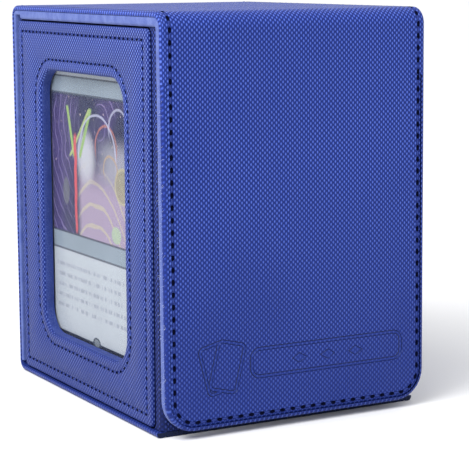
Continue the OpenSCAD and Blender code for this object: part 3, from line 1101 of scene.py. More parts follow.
class Bench:
    """Shapes pieces in edit mode."""

    CORNER_STEPS = 8
    LIFT = 0.06  # a loop is bridged while raised by this, so that no two loops are level
    DOUBLE = 0.002 * MM
    KEYS_PER_METRE = 1e7

    @staticmethod
    def clear() -> None:
        """Deselects everything."""
        if bpy.context.object and bpy.context.object.mode != "OBJECT":
            bpy.ops.object.mode_set(mode="OBJECT")
        bpy.ops.object.select_all(action="DESELECT")

    @classmethod
    def reopen(cls, piece: Object) -> None:
        """Takes a finished piece back into edit mode.

        Args:
            piece: The piece.
        """
        cls.clear()
        piece.select_set(True)
        bpy.context.view_layer.objects.active = piece
        bpy.ops.object.mode_set(mode="EDIT")

    @staticmethod
    def started(name: str) -> Object:
        """Names the primitive just added, applies its place and opens it.

        Args:
            name: The piece's name.

        Returns:
            The piece, in edit mode and selected all over.
        """
        piece = bpy.context.object
        piece.name = piece.data.name = name
        bpy.ops.object.transform_apply(location=True, rotation=True, scale=True)
        bpy.ops.object.mode_set(mode="EDIT")
        bpy.ops.mesh.select_all(action="SELECT")
        return piece

    @staticmethod
    def form() -> bmesh.types.BMesh:
        """The mesh being shaped."""
        return bmesh.from_edit_mesh(bpy.context.object.data)

    @classmethod
    def choose(cls, test: Callable[[Any], bool], kind: str = "EDGE") -> int:
        """Selects the active mesh's verts, edges or faces that pass a test.

        Args:
            test: Called with each element.
            kind: VERT, EDGE or FACE.

        Returns:
            How many were selected.
        """
        bpy.ops.mesh.select_mode(type=kind)
        bpy.ops.mesh.select_all(action="DESELECT")
        form = cls.form()
        items = {"VERT": form.verts, "EDGE": form.edges, "FACE": form.faces}[kind]
        found = [item for item in items if test(item)]
        for item in found:
            item.select_set(True)
        form.select_flush_mode()
        bmesh.update_edit_mesh(bpy.context.object.data)
        return len(found)

    @classmethod
    def key(cls, place: Vector) -> tuple[int, ...]:
        """A point's place in ten-thousandths of a millimetre."""
        return tuple(round(c * cls.KEYS_PER_METRE) for c in place)

    @classmethod
    def chosen(cls) -> Keys:
        """The places of the selected points."""
        return {cls.key(v.co) for v in cls.form().verts if v.select}

    @classmethod
    def inside(cls, edge: Any, ring: Keys) -> bool:
        """Whether both ends of an edge are in a loop."""
        return all(cls.key(v.co) in ring for v in edge.verts)

    @classmethod
    def loop(cls, outline: Outline, height: float) -> Keys:
        """Adds one loop of edges to the mesh being shaped.

        Args:
            outline: The loop's outline.
            height: Its height above the drawing plane.

        Returns:
            The places of its points.
        """
        bpy.ops.mesh.primitive_plane_add(size=1)
        bpy.ops.transform.resize(value=(outline.width, outline.height, 1))
        bpy.ops.transform.translate(value=(outline.across, outline.up, height))
        if outline.hem:
            points = cls.chosen()
            cls.choose(lambda v: cls.key(v.co) in points and v.co.y < outline.up, "VERT")
        bpy.ops.mesh.select_mode(type="VERT")
        bpy.ops.mesh.bevel(offset=outline.radius, segments=cls.CORNER_STEPS,
                           affect="VERTICES", clamp_overlap=False)
        face = max(cls.form().faces, key=lambda f: len(f.verts))
        ring = {cls.key(v.co) for v in face.verts}
        cls.choose(lambda f: len(f.verts) > 4, "FACE")
        bpy.ops.mesh.delete(type="ONLY_FACE")
        if outline.hem:
            top = outline.top()
            if cls.choose(lambda e: not e.link_faces and all(v.co.y > top for v in e.verts)):
                bpy.ops.mesh.delete(type="EDGE")
        return ring

    @classmethod
    def lower(cls, ring: Keys) -> Keys:
        """Puts a raised loop down at its own height.

        Args:
            ring: The places of its points.

        Returns:
            The places of its points once it is down.
        """
        cls.choose(lambda v: cls.key(v.co) in ring, "VERT")
        bpy.ops.transform.translate(value=(0, 0, -cls.LIFT))
        return cls.chosen()

    @classmethod
    def bridge(cls, first: Keys, second: Keys) -> None:
        """Joins two loops of open edges with a band of faces.

        Args:
            first: The places of one loop's points.
            second: The places of the other's.
        """
        cls.choose(lambda e: len(e.link_faces) < 2 and (
            cls.inside(e, first) or cls.inside(e, second)))
        bpy.ops.mesh.bridge_edge_loops()

    @classmethod
    def plate(cls, name: str, rings: Sequence[Ring], place: Matrix, closed: bool = False) -> Object:
        """Builds a plate from nested loops, each bridged to the next.

        Args:
            name: The piece's name.
            rings: Its loops.
            place: Puts the drawing in its place on the box.
            closed: Bridges the last loop to the first, instead of filling it.

        Returns:
            The piece.
        """
        cls.clear()
        bpy.ops.mesh.primitive_plane_add(size=1)
        piece = cls.started(name)
        bpy.ops.mesh.delete(type="VERT")
        loops: list[Keys] = []
        for ring in rings:
            raised = cls.loop(ring.outline.inset(ring.inset), ring.height + cls.LIFT)
            if loops:
                cls.bridge(loops[-1], raised)
            if closed and ring is rings[-1]:
                cls.bridge(raised, loops[0])
            loops.append(cls.lower(raised))
        if not closed:
            cls.choose(lambda e: len(e.link_faces) < 2 and cls.inside(e, loops[-1]))
            bpy.ops.mesh.edge_face_add()
        if rings[0].outline.hem:
            top = rings[0].outline.top()
            if cls.choose(lambda e: len(e.link_faces) == 1 and all(v.co.y > top for v in e.verts)):
                bpy.ops.mesh.edge_face_add()
        return cls.done(piece, place)

    @classmethod
    def done(cls, piece: Object, place: Matrix | None = None, angle: float = 38.0) -> Object:
        """Closes a piece: merges doubles, turns faces out, applies its place and shades it.

        Args:
            piece: The piece in edit mode.
            place: Where the drawing goes, if not where it is.
            angle: Edges sharper than this stay crisp, in degrees.

        Returns:
            The piece.
        """
        bpy.ops.mesh.select_all(action="SELECT")
        bpy.ops.mesh.remove_doubles(threshold=cls.DOUBLE)
        bpy.ops.mesh.normals_make_consistent(inside=False)
        bpy.ops.object.mode_set(mode="OBJECT")
        if place is not None:
            piece.matrix_world = place
            bpy.ops.object.transform_apply(location=True, rotation=True, scale=True)
        bpy.ops.object.shade_smooth_by_angle(angle=math.radians(angle))
        return piece

    @staticmethod
    def unroll(piece: Object, place: Callable[[Vector, Vector], Point]) -> None:
        """Writes the cloth map of a piece.

        Args:
            piece: The finished mesh.
            place: Gives a point's place on the flat cloth from its place and normal.
        """
        mesh = piece.data
        for old in list(mesh.uv_layers):
            mesh.uv_layers.remove(old)
        layer = mesh.uv_layers.new(name="cloth")
        normals = [v.normal.copy() for v in mesh.vertices]
        for corner in mesh.loops:
            u, v = place(mesh.vertices[corner.vertex_index].co, normals[corner.vertex_index])
            layer.data[corner.index].uv = (u / MM, v / MM)


@dataclass(frozen=True)
class Section:
    """A strip's cut end: flat inside, with round outer edges and maybe two sewn grooves."""

    width: float
    thickness: float
    outer_round: float
    inner_round: float = 0.2 * MM
    groove: float | None = None
    trim: float = 0.0


@dataclass(frozen=True)
class Run:
    """A straight stretch of a strip's path."""

    by: Triple
    steps: int = 1


@dataclass(frozen=True)
class Turn:
    """A bend of a strip's path about an axis along X."""

    y: float
    z: float
    angle: float
    steps: int = 10


@dataclass(frozen=True)
class Strip:
    """A strip swept from its cut end along runs and turns.

    It starts at the middle of its outer face, with the strip above it.
    """

    name: str
    section: Section
    start: Vector
    path: Sequence[Run | Turn]

    ROUND_STEPS = 5

    def build(self) -> Object:
        """Sweeps the strip.

        Returns:
            The piece.
        """
        cut, start = self.section, self.start
        middle = start.z + cut.thickness / 2
        Bench.clear()
        bpy.ops.mesh.primitive_plane_add(size=1, rotation=(QUARTER, 0, 0))
        piece = Bench.started(self.name)
        bpy.ops.transform.resize(value=(cut.width - 2 * cut.trim, 1, cut.thickness))
        bpy.ops.transform.translate(value=(start.x, start.y, middle))
        for below, radius in ((True, cut.outer_round), (False, cut.inner_round)):
            Bench.choose(lambda v: self.is_corner(v, middle, below), "VERT")
            bpy.ops.mesh.bevel(offset=radius, segments=self.ROUND_STEPS,
                               affect="VERTICES", clamp_overlap=False)
        if cut.groove is not None:
            self.press_grooves(cut.groove, middle)
        bpy.ops.mesh.select_mode(type="FACE")
        bpy.ops.mesh.select_all(action="SELECT")
        for part in self.path:
            if isinstance(part, Run):
                self.draw(Vector(part.by), part.steps)
            else:
                bpy.ops.mesh.spin(steps=part.steps, angle=-part.angle,
                                  center=(0, part.y, part.z), axis=(1, 0, 0))
        return Bench.done(piece)

    @staticmethod
    def press_grooves(across: float, middle: float) -> None:
        """Presses both sewn grooves into the cut end's outer face.

        Args:
            across: Their distance from the strip's middle line.
            middle: The height of the cut end's middle.
        """
        for side in (-1, 1):
            for off in STRAP_GROOVE.offsets():
                bpy.ops.mesh.select_all(action="SELECT")
                bpy.ops.mesh.bisect(plane_co=(side * across + off, 0, 0), plane_no=(1, 0, 0))
        reach = (STRAP_GROOVE.floor + STRAP_GROOVE.half) / 2
        Bench.choose(lambda v: abs(abs(v.co.x) - across) < reach and v.co.z < middle, "VERT")
        bpy.ops.transform.translate(value=(0, 0, STRAP_GROOVE.depth))

    @staticmethod
    def draw(by: Vector, steps: int) -> None:
        """Draws the selected end on by a distance, in steps."""
        for _ in range(steps):
            bpy.ops.mesh.extrude_region_move(TRANSFORM_OT_translate={"value": tuple(by / steps)})

    @classmethod
    def extend(cls, piece: Object, by: Vector, steps: int) -> None:
        """Draws the end of a finished strip on.

        Args:
            piece: The strip, whose end lies furthest along by.
            by: How far, and which way.
            steps: In how many steps.
        """
        Bench.reopen(piece)
        way = by.normalized()
        end = max(v.co.dot(way) for v in Bench.form().verts) - 0.01 * MM
        Bench.choose(lambda f: all(v.co.dot(way) > end for v in f.verts), "FACE")
        cls.draw(by, steps)
        Bench.done(piece)

    @staticmethod
    def is_corner(vert: Any, middle: float, below: bool) -> bool:
        """Whether a point is a square corner on the asked side of the middle.

        Args:
            vert: The point.
            middle: The height of the cut end's middle.
            below: True for the outer side, which is below.

        Returns:
            True if it is one.
        """
        if (vert.co.z < middle) is not below or len(vert.link_edges) != 2:
            return False
        first, second = (e.other_vert(vert).co - vert.co for e in vert.link_edges)
        return abs(first.normalized().dot(second.normalized())) < 0.1


@dataclass
class Sewing:
    """Rows of stitches and their needle holes, copied from one master of each."""

    stitch: float
    thick: float
    hole: float

    PROUD = 0.06 * MM
    HOLE_PROUD = 0.02 * MM
    CRISP = 80.0

    def __post_init__(self) -> None:
        """Makes the master thread and the master hole."""
        self.thread_master = self.make_thread()
        self.hole_master = self.make_hole()

    def make_thread(self) -> Object:
        """One thread lying between two holes, with its ends pulled down.

        Returns:
            The master thread.
        """
        Bench.clear()
        bpy.ops.mesh.primitive_uv_sphere_add(segments=10, ring_count=8, radius=1,
                                             rotation=(0, QUARTER, 0))
        piece = Bench.started("stitch")
        bpy.ops.transform.resize(value=(self.stitch / 2, self.thick / 2, self.thick * 0.42))
        Bench.choose(lambda v: abs(v.co.x) > self.stitch * 0.44, "VERT")
        bpy.ops.transform.translate(value=(0, 0, -self.thick * 0.45))
        return Bench.done(piece, angle=self.CRISP)

    def make_hole(self) -> Object:
        """One shallow needle hole: a small dished oval.

        Returns:
            The master hole.
        """
        Bench.clear()
        bpy.ops.mesh.primitive_circle_add(vertices=8, radius=self.hole / 2, fill_type="NGON")
        piece = Bench.started("hole")
        bpy.ops.transform.resize(value=(1.55, 1, 1))
        for rim, depth in ((0.16, 0.06 * MM), (0.14, 0.08 * MM)):
            bpy.ops.mesh.inset(thickness=self.hole * rim, depth=-depth)
        return Bench.done(piece, angle=self.CRISP)

    def row(self, name: str, places: Sequence[Matrix], body: str | None, groove: Groove,
            node: str) -> list[Object]:
        """Sews one row.

        Args:
            name: What the row's two pieces are named after.
            places: Stitch and hole in turn, each along its own X and with Z out of the cloth.
            body: The CAD body the row rides on, or None if it bends between two.
            groove: The groove the row lies in.
            node: The CAD node the row stands for.

        Returns:
            The row's threads and its needle holes.
        """
        threads = join(f"{name}_thread", self.thread_master,
                       self.lifted(places[0::2], self.PROUD - groove.depth))
        holes = join(f"{name}_holes", self.hole_master, self.lifted(places[1::2], self.HOLE_PROUD))
        # The holes take near-black painted shade
        return [settle(threads, THREAD, body, node), settle(holes, PIT_PAINTED_SHADE, body)]

    @staticmethod
    def along(outline: Outline, pitch: float, place: Matrix) -> list[Matrix]:
        """Places for a row along an outline.

        Args:
            outline: The row's line on its drawing.
            pitch: About how long a stitch and its gap are.
            place: Puts the drawing in its place on the box.

        Returns:
            A place for each half step.
        """
        return [
            place @ Matrix.Translation((across, up, 0)) @ Matrix.Rotation(heading, 4, "Z")
            for across, up, heading in outline.walk(pitch)
        ]

    @staticmethod
    def lifted(places: Sequence[Matrix], by: float) -> list[Matrix]:
        """The same places, moved out of the cloth by a distance."""
        return [place @ Matrix.Translation((0, 0, by)) for place in places]

    def clear_away(self) -> None:
        """Removes the two masters."""
        for master in (self.thread_master, self.hole_master):
            bpy.data.objects.remove(master)


def join(name: str, master: Object, places: Sequence[Matrix]) -> Object:
    """Copies a master to each place, each copy with its own mesh, and joins them.

    Args:
        name: The new piece's name.
        master: What is copied.
        places: Where each copy goes.

    Returns:
        The new piece.
    """
    Bench.clear()
    for place in places:
        copy = master.copy()
        copy.data = master.data.copy()
        copy.data.transform(place)
        bpy.context.collection.objects.link(copy)
        copy.select_set(True)
        if place is places[0]:
            bpy.context.view_layer.objects.active = copy
    bpy.ops.object.join()
    piece = bpy.context.object
    piece.name = piece.data.name = name
    return piece


def settle(piece: Object, finish: Finish, body: str | None, *nodes: str) -> Object:
    """Dresses a piece and ties it to the frame.

    Args:
        piece: The finished piece.
        finish: Its finish.
        body: The CAD body it rides on, or None for a piece that bends between two.
        nodes: The CAD nodes it stands for.

    Returns:
        The piece.
    """
    finish.dress(piece)
    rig.slot(piece, finish.slot)
    if body is not None:
        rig.ride(piece, body)
    if nodes:
        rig.replaces(piece, *nodes)
    log.info("%s: %d faces", piece.name, len(piece.data.polygons))
    return piece


# ---- Sub-assemblies ----


@dataclass
class Strap:
    """The strap: base, back, lid and flap, each a woven cover on a suede lining."""

    lean: float = math.radians(0.5)
    flap_lift: float = 2.1 * MM
    corner: float = 8.5 * MM
    cover_t: float = 1.4 * MM
    seam: float = 2.4 * MM
    pitch: float = 3.25 * MM
    split_drop: float = 14.0 * MM
    lid_split: float = 2.0 * MM
    base_split: float = 20.0 * MM
    hinge_reach: float = 12.0 * MM
    fold_reach: float = 4.0 * MM
    edge_round: float = 1.15 * MM
    emblem_left: float = 10.2
    emblem_low: float = 11.9
    fibres: int = 170
    fibre_radius: float = 0.025 * MM

    def __post_init__(self) -> None:
        """Reads the strap's places from the frame."""
        self.half = high("lid_cover").x
        self.top = high("lid_cover").z
        self.front_y = low("lid_cover").y
        self.front_z = low("flap_hinge_fold").z
        self.front_r = self.top - self.front_z
        self.out_y = self.front_y - self.front_r
        self.body_front = low("body_wrap").y
        self.back_out = high("back_strap_cover").y
        self.base_r = low("back_strap_cover").z
        self.base_y = self.back_out - self.base_r
        self.back_z = high("back_strap_cover").z
        self.back_r = self.top - self.back_z
        self.back_y = self.back_out - self.back_r
        self.lid_back = high("lid_cover").y
        self.split_y = self.lid_back - self.lid_split
        self.split_z = self.front_z - self.split_drop
        self.lid_t = self.top - low("lid_lining").z
        self.base_l = self.base_y - self.body_front
        self.back_l = self.back_z - self.base_r
        self.lid_l = self.back_y - self.front_y
        self.front_turn = QUARTER - self.lean
        self.down = Vector((0.0, -math.sin(self.lean), -math.cos(self.lean)))
        self.whole = self.path_length(Vector((0, self.out_y, 0)))

    def build(self, sewing: Sewing) -> None:
        """Makes every piece of the strap and its sewing.

        Args:
            sewing: The stitches of its rows.
        """
        self.rear()
        self.crown()
        self.flap()
        self.stitches(sewing)
        self.lint()

    # Where the strap runs

    def path_length(self, place: Vector) -> float:
        """Distance along the strap's outer face, from the front of the base.

        Args:
            place: A point on or in the strap.

        Returns:
            How far along the strap it lies.
        """
        y, z = place.y, place.z
        if y > self.base_y and z < self.base_r:
            return self.base_l + self.base_r * math.atan2(y - self.base_y, self.base_r - z)
        start = self.base_l + self.base_r * QUARTER
        if y > self.back_y - 1e-6 and z > self.back_z:
            turned = math.atan2(z - self.back_z, y - self.back_y)
            return start + self.back_l + self.back_r * turned
        if z < self.base_r and y > self.body_front - 1e-4:
            return y - self.body_front
        if y > self.back_y:
            return start + z - self.base_r
        start += self.back_l + self.back_r * QUARTER
        if y > self.front_y - 1e-6 and z > self.front_z:
            return start + self.back_y - y
        start += self.lid_l
        if z > self.front_z:
            return start + self.front_r * math.atan2(self.front_y - y, z - self.front_z)
        return start + self.front_r * QUARTER + self.front_z - z

    def along(self, far: float) -> Triple:
        """A point of the strap's outer face.

        Args:
            far: Its distance along the strap from the top of the base fold.

        Returns:
            Its y and z, and how far the strap has turned there, from 0 at the back.
        """
        if far < self.back_l:
            return self.back_out, self.base_r + far, 0.0
        far -= self.back_l
        bend = self.back_r * QUARTER
        if far < bend:
            a = far / self.back_r
            y, z = self.back_r * math.cos(a), self.back_r * math.sin(a)
            return self.back_y + y, self.back_z + z, a
        far -= bend
        if far < self.lid_l:
            return self.back_y - far, self.top, QUARTER
        far -= self.lid_l
        bend = self.front_r * self.front_turn
        a = min(far, bend) / self.front_r
        rest = self.down * max(0.0, far - bend)
        y = self.front_y - self.front_r * math.sin(a) + rest.y
        z = self.front_z + self.front_r * math.cos(a) + rest.z
        return y, z, QUARTER + a

    def on_cloth(self, place: Vector, _: Vector) -> Point:
        """Where a point of the strap lies on its flat cloth."""
        over = max(0.0, abs(place.x) - (self.half - self.edge_round)) * 0.5
        return place.x + math.copysign(over, place.x), self.whole - self.path_length(place)

    def on_flap(self, place: Vector, normal: Vector) -> Point:
        """Where a point of the flap lies on its flat cloth.

        Args:
            place: The point.
            normal: The way its face looks.

        Returns:
            Its distance from the flap's middle and its height above the ground.
        """
        upright = self.leaned().inverted() @ place
        depth = upright.y - self.out_y
        return upright.x + normal.x * depth, upright.z + normal.z * depth

    def leaned(self) -> Matrix:
        """Turns a drawing of the upright flap out by its lean."""
        move = Matrix.Translation((0, self.front_y, self.front_z))
        return move @ Matrix.Rotation(-self.lean, 4, "X") @ move.inverted()

    def flap_face(self) -> Matrix:
        """Puts a drawing on the flap's outer face."""
        return self.leaned() @ Side.FRONT.at(-self.out_y)

    def over_lid(self, back: float, depth: float) -> Matrix:
        """Turns a strip over, onto the lid from back towards the front, at a depth."""
        return Matrix.Translation((0, back, self.top - depth)) @ Matrix.Rotation(math.pi, 4, "X")

    def flap_outline(self) -> Outline:
        """The flap below its split, seen from the front."""
        height = self.split_z - self.flap_lift
        return Outline(0, self.flap_lift + height / 2, 2 * self.half, height, self.corner, hem=True)

    def back_hinge(self) -> dict[str, Triple]:
        """Where the cloth bends from the back to the lid.

        Returns:
            The bend's start and end.
        """
        return {
            "start": (0, self.back_out, self.back_z - 2.0 * MM),
            "end": (0, self.lid_back, self.top),
        }

    def front_hinge(self) -> dict[str, Triple]:
        """Where the cloth bends from the lid to the flap.

        Returns:
            The bend's start and end.
        """
        under, ahead, fall = self.top - self.lid_t, 0.6 * MM, 4.2 * MM
        return {
            "start": (0, self.front_y + ahead, under),
            "end": (0, self.front_y + ahead - fall, under - fall),
        }

    # Its pieces

    def cover_section(self) -> Section:
        """The cut end of a cover with its two sewn grooves."""
        return Section(2 * self.half, self.cover_t, self.edge_round, groove=self.half - self.seam)

    def rear(self) -> None:
        """Makes the base, the back and the back hinge, with the lining behind."""
        joint = self.base_y - self.base_split
        base = Strip("base_cover", self.cover_section(), Vector((0, self.body_front, 0)), [
            Run((0, joint - self.body_front, 0), 3),
        ]).build()
        Bench.unroll(base, self.on_cloth)
        settle(base, COVER, "root", "base_strap_cover")
        # The base's front-facing end faces take the near-black copy, painted shadow under the flap
        base.data.materials.append(made_once(FOOT_PAINTED_SHADOW))
        for face in base.data.polygons:
            face.material_index = int(face.normal.y < -0.9)
        upright = self.back_l - self.fold_reach
        cover = Strip("rear_cover", self.cover_section(), Vector((0, joint, 0)), [
            Run((0, self.base_y - joint, 0)), Turn(self.base_y, self.base_r, QUARTER, 8),
            Run((0, 0, upright), 4), Run((0, 0, self.fold_reach), 4),
            Turn(self.back_y, self.back_z, QUARTER),
            Run((0, self.lid_back - self.back_y, 0), 4), Run((0, self.split_y - self.lid_back, 0)),
        ]).build()
        Bench.unroll(cover, self.on_cloth)
        settle(cover, COVER, None, "back_strap_cover", "lid_hinge_fold")
        gap, edge = 0.03 * MM, 0.4 * MM
        lining_t = self.back_out - high("body_wrap").y - self.cover_t - gap
        band = Section(2 * self.half, lining_t, edge, edge, trim=edge / 2)
        lining = Strip("rear_lining", band, Vector(), [
            Run((0, upright, 0), 4), Run((0, self.fold_reach, 0), 4),
            Turn(self.back_l, self.back_r - self.cover_t, QUARTER),
            Run((0, 0, self.back_y - self.lid_back), 4),
        ]).build()
        start = Matrix.Translation((0, self.back_out - self.cover_t, self.base_r))
        lining.data.transform(start @ Matrix.Rotation(QUARTER, 4, "X"))
        settle(lining, SUEDE, None, "back_strap_core")
        for piece in (cover, lining):
            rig.blend(piece, "root", "lid", **self.back_hinge())

    def crown(self) -> None:
        """Makes the lid, the front hinge and the top of the flap."""
        cover = self.crown_strip("crown_cover", self.cover_section(), self.split_y, 0.0)
        Bench.unroll(cover, self.on_cloth)
        settle(cover, COVER, None, "lid_cover", "flap_hinge_fold")
        lining_t = self.lid_t - self.cover_t
        inner = Section(2 * self.half, lining_t, 0.5 * MM, 0.9 * MM, trim=0.12 * MM)
        lining = self.crown_strip("crown_lining", inner, self.lid_back, self.cover_t)
        settle(lining, SUEDE, None, "lid_lining")
        for piece in (cover, lining):
            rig.blend(piece, "lid", "flap", **self.front_hinge())

    def crown_strip(self, name: str, section: Section, back: float, depth: float) -> Object:
        """One layer of the crown, from the lid's back to the flap's split.

        Args:
            name: The piece's name.
            section: Its cut end.
            back: Where it starts at the back.
            depth: How far it lies under the cover's outer face.

        Returns:
            The piece.
        """
        reach, lid_run = self.hinge_reach, back - self.front_y
        piece = Strip(name, section, Vector(), [
            Run((0, lid_run - reach, 0), 4), Run((0, reach, 0), 6),
            Turn(lid_run, self.front_r - depth, self.front_turn, 12),
        ]).build()
        piece.data.transform(self.over_lid(back, depth))
        Strip.extend(piece, self.down * reach, 6)
        Strip.extend(piece, self.down * (self.split_drop - reach), 1)
        return piece

    def flap(self) -> None:
        """Makes the flap's cover and lining below the split."""
        sheet, place = self.flap_outline(), self.flap_face()
        r, t, full = self.edge_round, self.cover_t, self.lid_t
        fine = 0.2 * MM
        edge = [(fine, -t), (0.0, -t + fine)]
        for degrees in range(0, 91, 18):
            a = math.radians(degrees)
            edge.append((r * (1 - math.sin(a)), -r * (1 - math.cos(a))))
        rings = nest(sheet, edge + STRAP_GROOVE.profile(self.seam))
        cover = Bench.plate("flap_cover_sheet", rings, place)
        Bench.unroll(cover, self.on_flap)
        emblem = Press(left=self.emblem_left - self.half / MM, low=self.emblem_low)
        settle(cover, Weave("pressed_cover", "woven_cover", press=emblem), "flap", "flap_cover")
        lining = Bench.plate("flap_lining_sheet", nest(sheet, [
            (0.50 * MM, -t - 0.02 * MM), (0.25 * MM, -t - 0.1 * MM), (0.12 * MM, -t - 0.4 * MM),
            (0.12 * MM, -full + 0.9 * MM), (0.36 * MM, -full + 0.3 * MM),
            (0.90 * MM, -full + 0.02 * MM), (1.40 * MM, -full),
        ]), place)
        settle(lining, SUEDE, "flap", "flap_lining")

    def stitches(self, sewing: Sewing) -> None:
        """Sews the flap, and both edges of the strap from the split up and over to the back.

        Args:
            sewing: The stitches.
        """
        line = self.flap_outline().inset(self.seam)
        sewing.row("flap_seam", sewing.along(line, self.pitch, self.flap_face()), "flap",
                   STRAP_GROOVE, "flap_seam")
        over = self.back_l + self.back_r * QUARTER + self.back_y
        split = over - self.split_y
        end = over - self.front_y + self.front_r * self.front_turn + self.split_drop
        for name, start, stop, node, bodies, hinge in (
            ("rear_seam", 0.0, split, "back_seam", ("root", "lid"), self.back_hinge()),
            ("crown_seam", split, end, "lid_seam", ("lid", "flap"), self.front_hinge()),
        ):
            for piece in sewing.row(name, self.edge_places(start, stop), None, STRAP_GROOVE, node):
                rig.blend(piece, *bodies, **hinge)

    def edge_places(self, start: float, stop: float) -> list[Matrix]:
        """Places for stitches and holes along both edges of the strap.

        Args:
            start: Where the rows start, along the strap.
            stop: Where they end.

        Returns:
            A place for each half step.
        """
        places = []
        count = 2 * round((stop - start) / self.pitch)
        for side in (-1, 1):
            for i in range(count):
                y, z, turned = self.along(start + (i + 0.5) * (stop - start) / count)
                spot = Matrix.Translation((side * (self.half - self.seam), y, z))
                facing = Matrix.Rotation(turned, 4, "X") @ Side.BACK.at(0.0)
                places.append(spot @ facing @ Matrix.Rotation(QUARTER, 4, "Z"))
        return places

    def lint(self) -> None:
        """Scatters loose fibres along the flap's left edge, above the corner."""
        draw = random.Random(11)
        Bench.clear()
        bpy.ops.mesh.primitive_cylinder_add(vertices=3, radius=1, depth=1)
        fibre = bpy.context.object
        places = []
        for _ in range(self.fibres):
            up = draw.uniform(self.flap_lift + self.corner, self.split_z)
            root = Vector((-self.half, self.out_y + draw.uniform(0.3 * MM, 3.5 * MM), up))
            turn = Matrix.Rotation(draw.uniform(0.3, 1.2), 4, "Y")
            turn = turn @ Matrix.Rotation(draw.uniform(-1.2, 1.2), 4, "X")
            length = draw.uniform(0.4 * MM, 1.1 * MM)
            size = Matrix.Diagonal((self.fibre_radius, self.fibre_radius, length, 1))
            places.append(Matrix.Translation(self.leaned() @ root) @ turn @ size)
        settle(join("flap_lint", fibre, places), LINT, "flap")
        bpy.data.objects.remove(fibre)


@dataclass
class SidePanels:
    """The two stitched side panels, the window in the left one and its lining."""

    lip: float = 0.75 * MM
    seam: float = 3.0 * MM
    pitch: float = 2.65 * MM
    corner: float = 1.5 * MM
    window_corner: float = 8.0 * MM
    seam_width: float = 0.6 * MM
    jamb_t: float = 0.22 * MM

    def __post_init__(self) -> None:
        """Reads the panels' places from the frame."""
        at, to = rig.box("window_frame_panel")
        self.wall = -low("body_wrap").x
        self.thick = -at.x - self.wall
        self.middle = (at.y + to.y) / 2
        self.size = (to.y - at.y, to.z - at.z)
        self.up = (at.z + to.z) / 2
        seam_low, seam_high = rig.box("frame_inner_seam")
        grown = 2 * self.seam + self.seam_width
        self.window_size = (seam_high.y - seam_low.y - grown, seam_high.z - seam_low.z - grown)
        self.window_up = (seam_low.z + seam_high.z) / 2
        self.jamb_depth = low("window_pane").x + self.wall

    def panel(self, sign: int) -> Outline:
        """A panel's outline; sign is -1 for the left side, whose drawing is turned round."""
        return Outline(sign * self.middle, self.up, *self.size, self.corner)

    def window(self) -> Outline:
        """The window's outline."""
        return Outline(-self.middle, self.window_up, *self.window_size, self.window_corner)

    def border(self, outline: Outline) -> list[Ring]:
        """A panel's rounded edge and its sewn groove.

        Args:
            outline: The panel's outline.

        Returns:
            The rings, from the wall out and in to the groove's far edge.
        """
        t = self.thick
        edge = [(0.0, 0.0), (0.0, t * 0.45), (0.08 * MM, t * 0.66), (0.25 * MM, t * 0.84),
                (0.50 * MM, t * 0.95), (self.lip, t)]
        return nest(outline, edge + PANEL_GROOVE.profile(self.seam, t))

    def build(self, sewing: Sewing) -> None:
        """Makes both panels, the window's lining and their sewing.

        Args:
            sewing: The stitches of their rows.
        """
        left, right, window, t = self.panel(-1), self.panel(1), self.window(), self.thick
        on_left, on_right = Side.LEFT.at(self.wall), Side.RIGHT.at(self.wall)
        lip = [(1.1 * MM, t * 0.99), (0.6 * MM, t * 0.9), (0.25 * MM, t * 0.68),
               (0.06 * MM, t * 0.38), (0.0, 0.0)]
        window_rings = nest(window, PANEL_GROOVE.profile(self.seam, t)[::-1] + lip, -1)
        rings = self.border(left) + window_rings
        self.cover(Bench.plate("frame_sheet", rings, on_left, closed=True), "window_frame_panel")
        self.cover(Bench.plate("side_sheet", self.border(right), on_right), "side_panel")
        # Painted shade lines along each panel's foot
        self.paint_crease_shade("frame_crease_shade", left, on_left)
        self.paint_crease_shade("side_crease_shade", right, on_right)
        self.jamb(window, on_left)
        face_left, face_right = Side.LEFT.at(self.wall + t), Side.RIGHT.at(self.wall + t)
        for name, line, place, node in (
            ("frame_edge_seam", left.inset(self.seam), face_left, "frame_outer_seam"),
            ("window_seam", window.inset(-self.seam), face_left, "frame_inner_seam"),
            ("side_edge_seam", right.inset(self.seam), face_right, "side_panel_seam"),
        ):
            places = sewing.along(line, self.pitch, place)
            sewing.row(name, places, "root", PANEL_GROOVE, node)

    def cover(self, sheet: Object, node: str) -> None:
        """Dresses a panel's sheet, which stands for a CAD node."""
        Bench.unroll(sheet, self.on_side)
        settle(sheet, PANEL, "root", node)

    def paint_crease_shade(self, name: str, outline: Outline, place: Matrix) -> None:
        """Lays a near-black line of painted shade where a panel meets the wall.

        Args:
            name: The piece's name.
            outline: The panel's outline.
            place: Puts its drawing on the wall.
        """
        flat, raised = 0.01 * MM, 0.05 * MM
        rings = nest(outline, [
            (-0.50 * MM, flat), (-0.42 * MM, raised), (0.20 * MM, raised), (0.30 * MM, flat),
        ])
        settle(Bench.plate(name, rings, place, closed=True), PIT_PAINTED_SHADE, "root")

    def jamb(self, window: Outline, place: Matrix) -> None:
        """Lines the window's opening from the panel in to the pane, in a darker suede copy that is painted shade.

        Args:
            window: The window's outline.
            place: Puts its drawing on the wall.
        """
        tight, floor = 0.01 * MM, -self.jamb_depth + 0.1 * MM
        rings = nest(window, [
            (tight, 0.12 * MM), (0.1 * MM, 0.08 * MM), (0.2 * MM, -0.1 * MM),
            (self.jamb_t, -self.jamb_depth / 2), (self.jamb_t, floor), (tight, floor),
        ])
        settle(Bench.plate("window_jamb", rings, place, closed=True), JAMB_PAINTED_SHADE, "root")

    def on_side(self, place: Vector, normal: Vector) -> Point:
        """Where a point of a side panel lies on its flat cloth."""
        depth = self.wall + self.thick - abs(place.x)
        return place.y + normal.y * depth, place.z + normal.z * depth


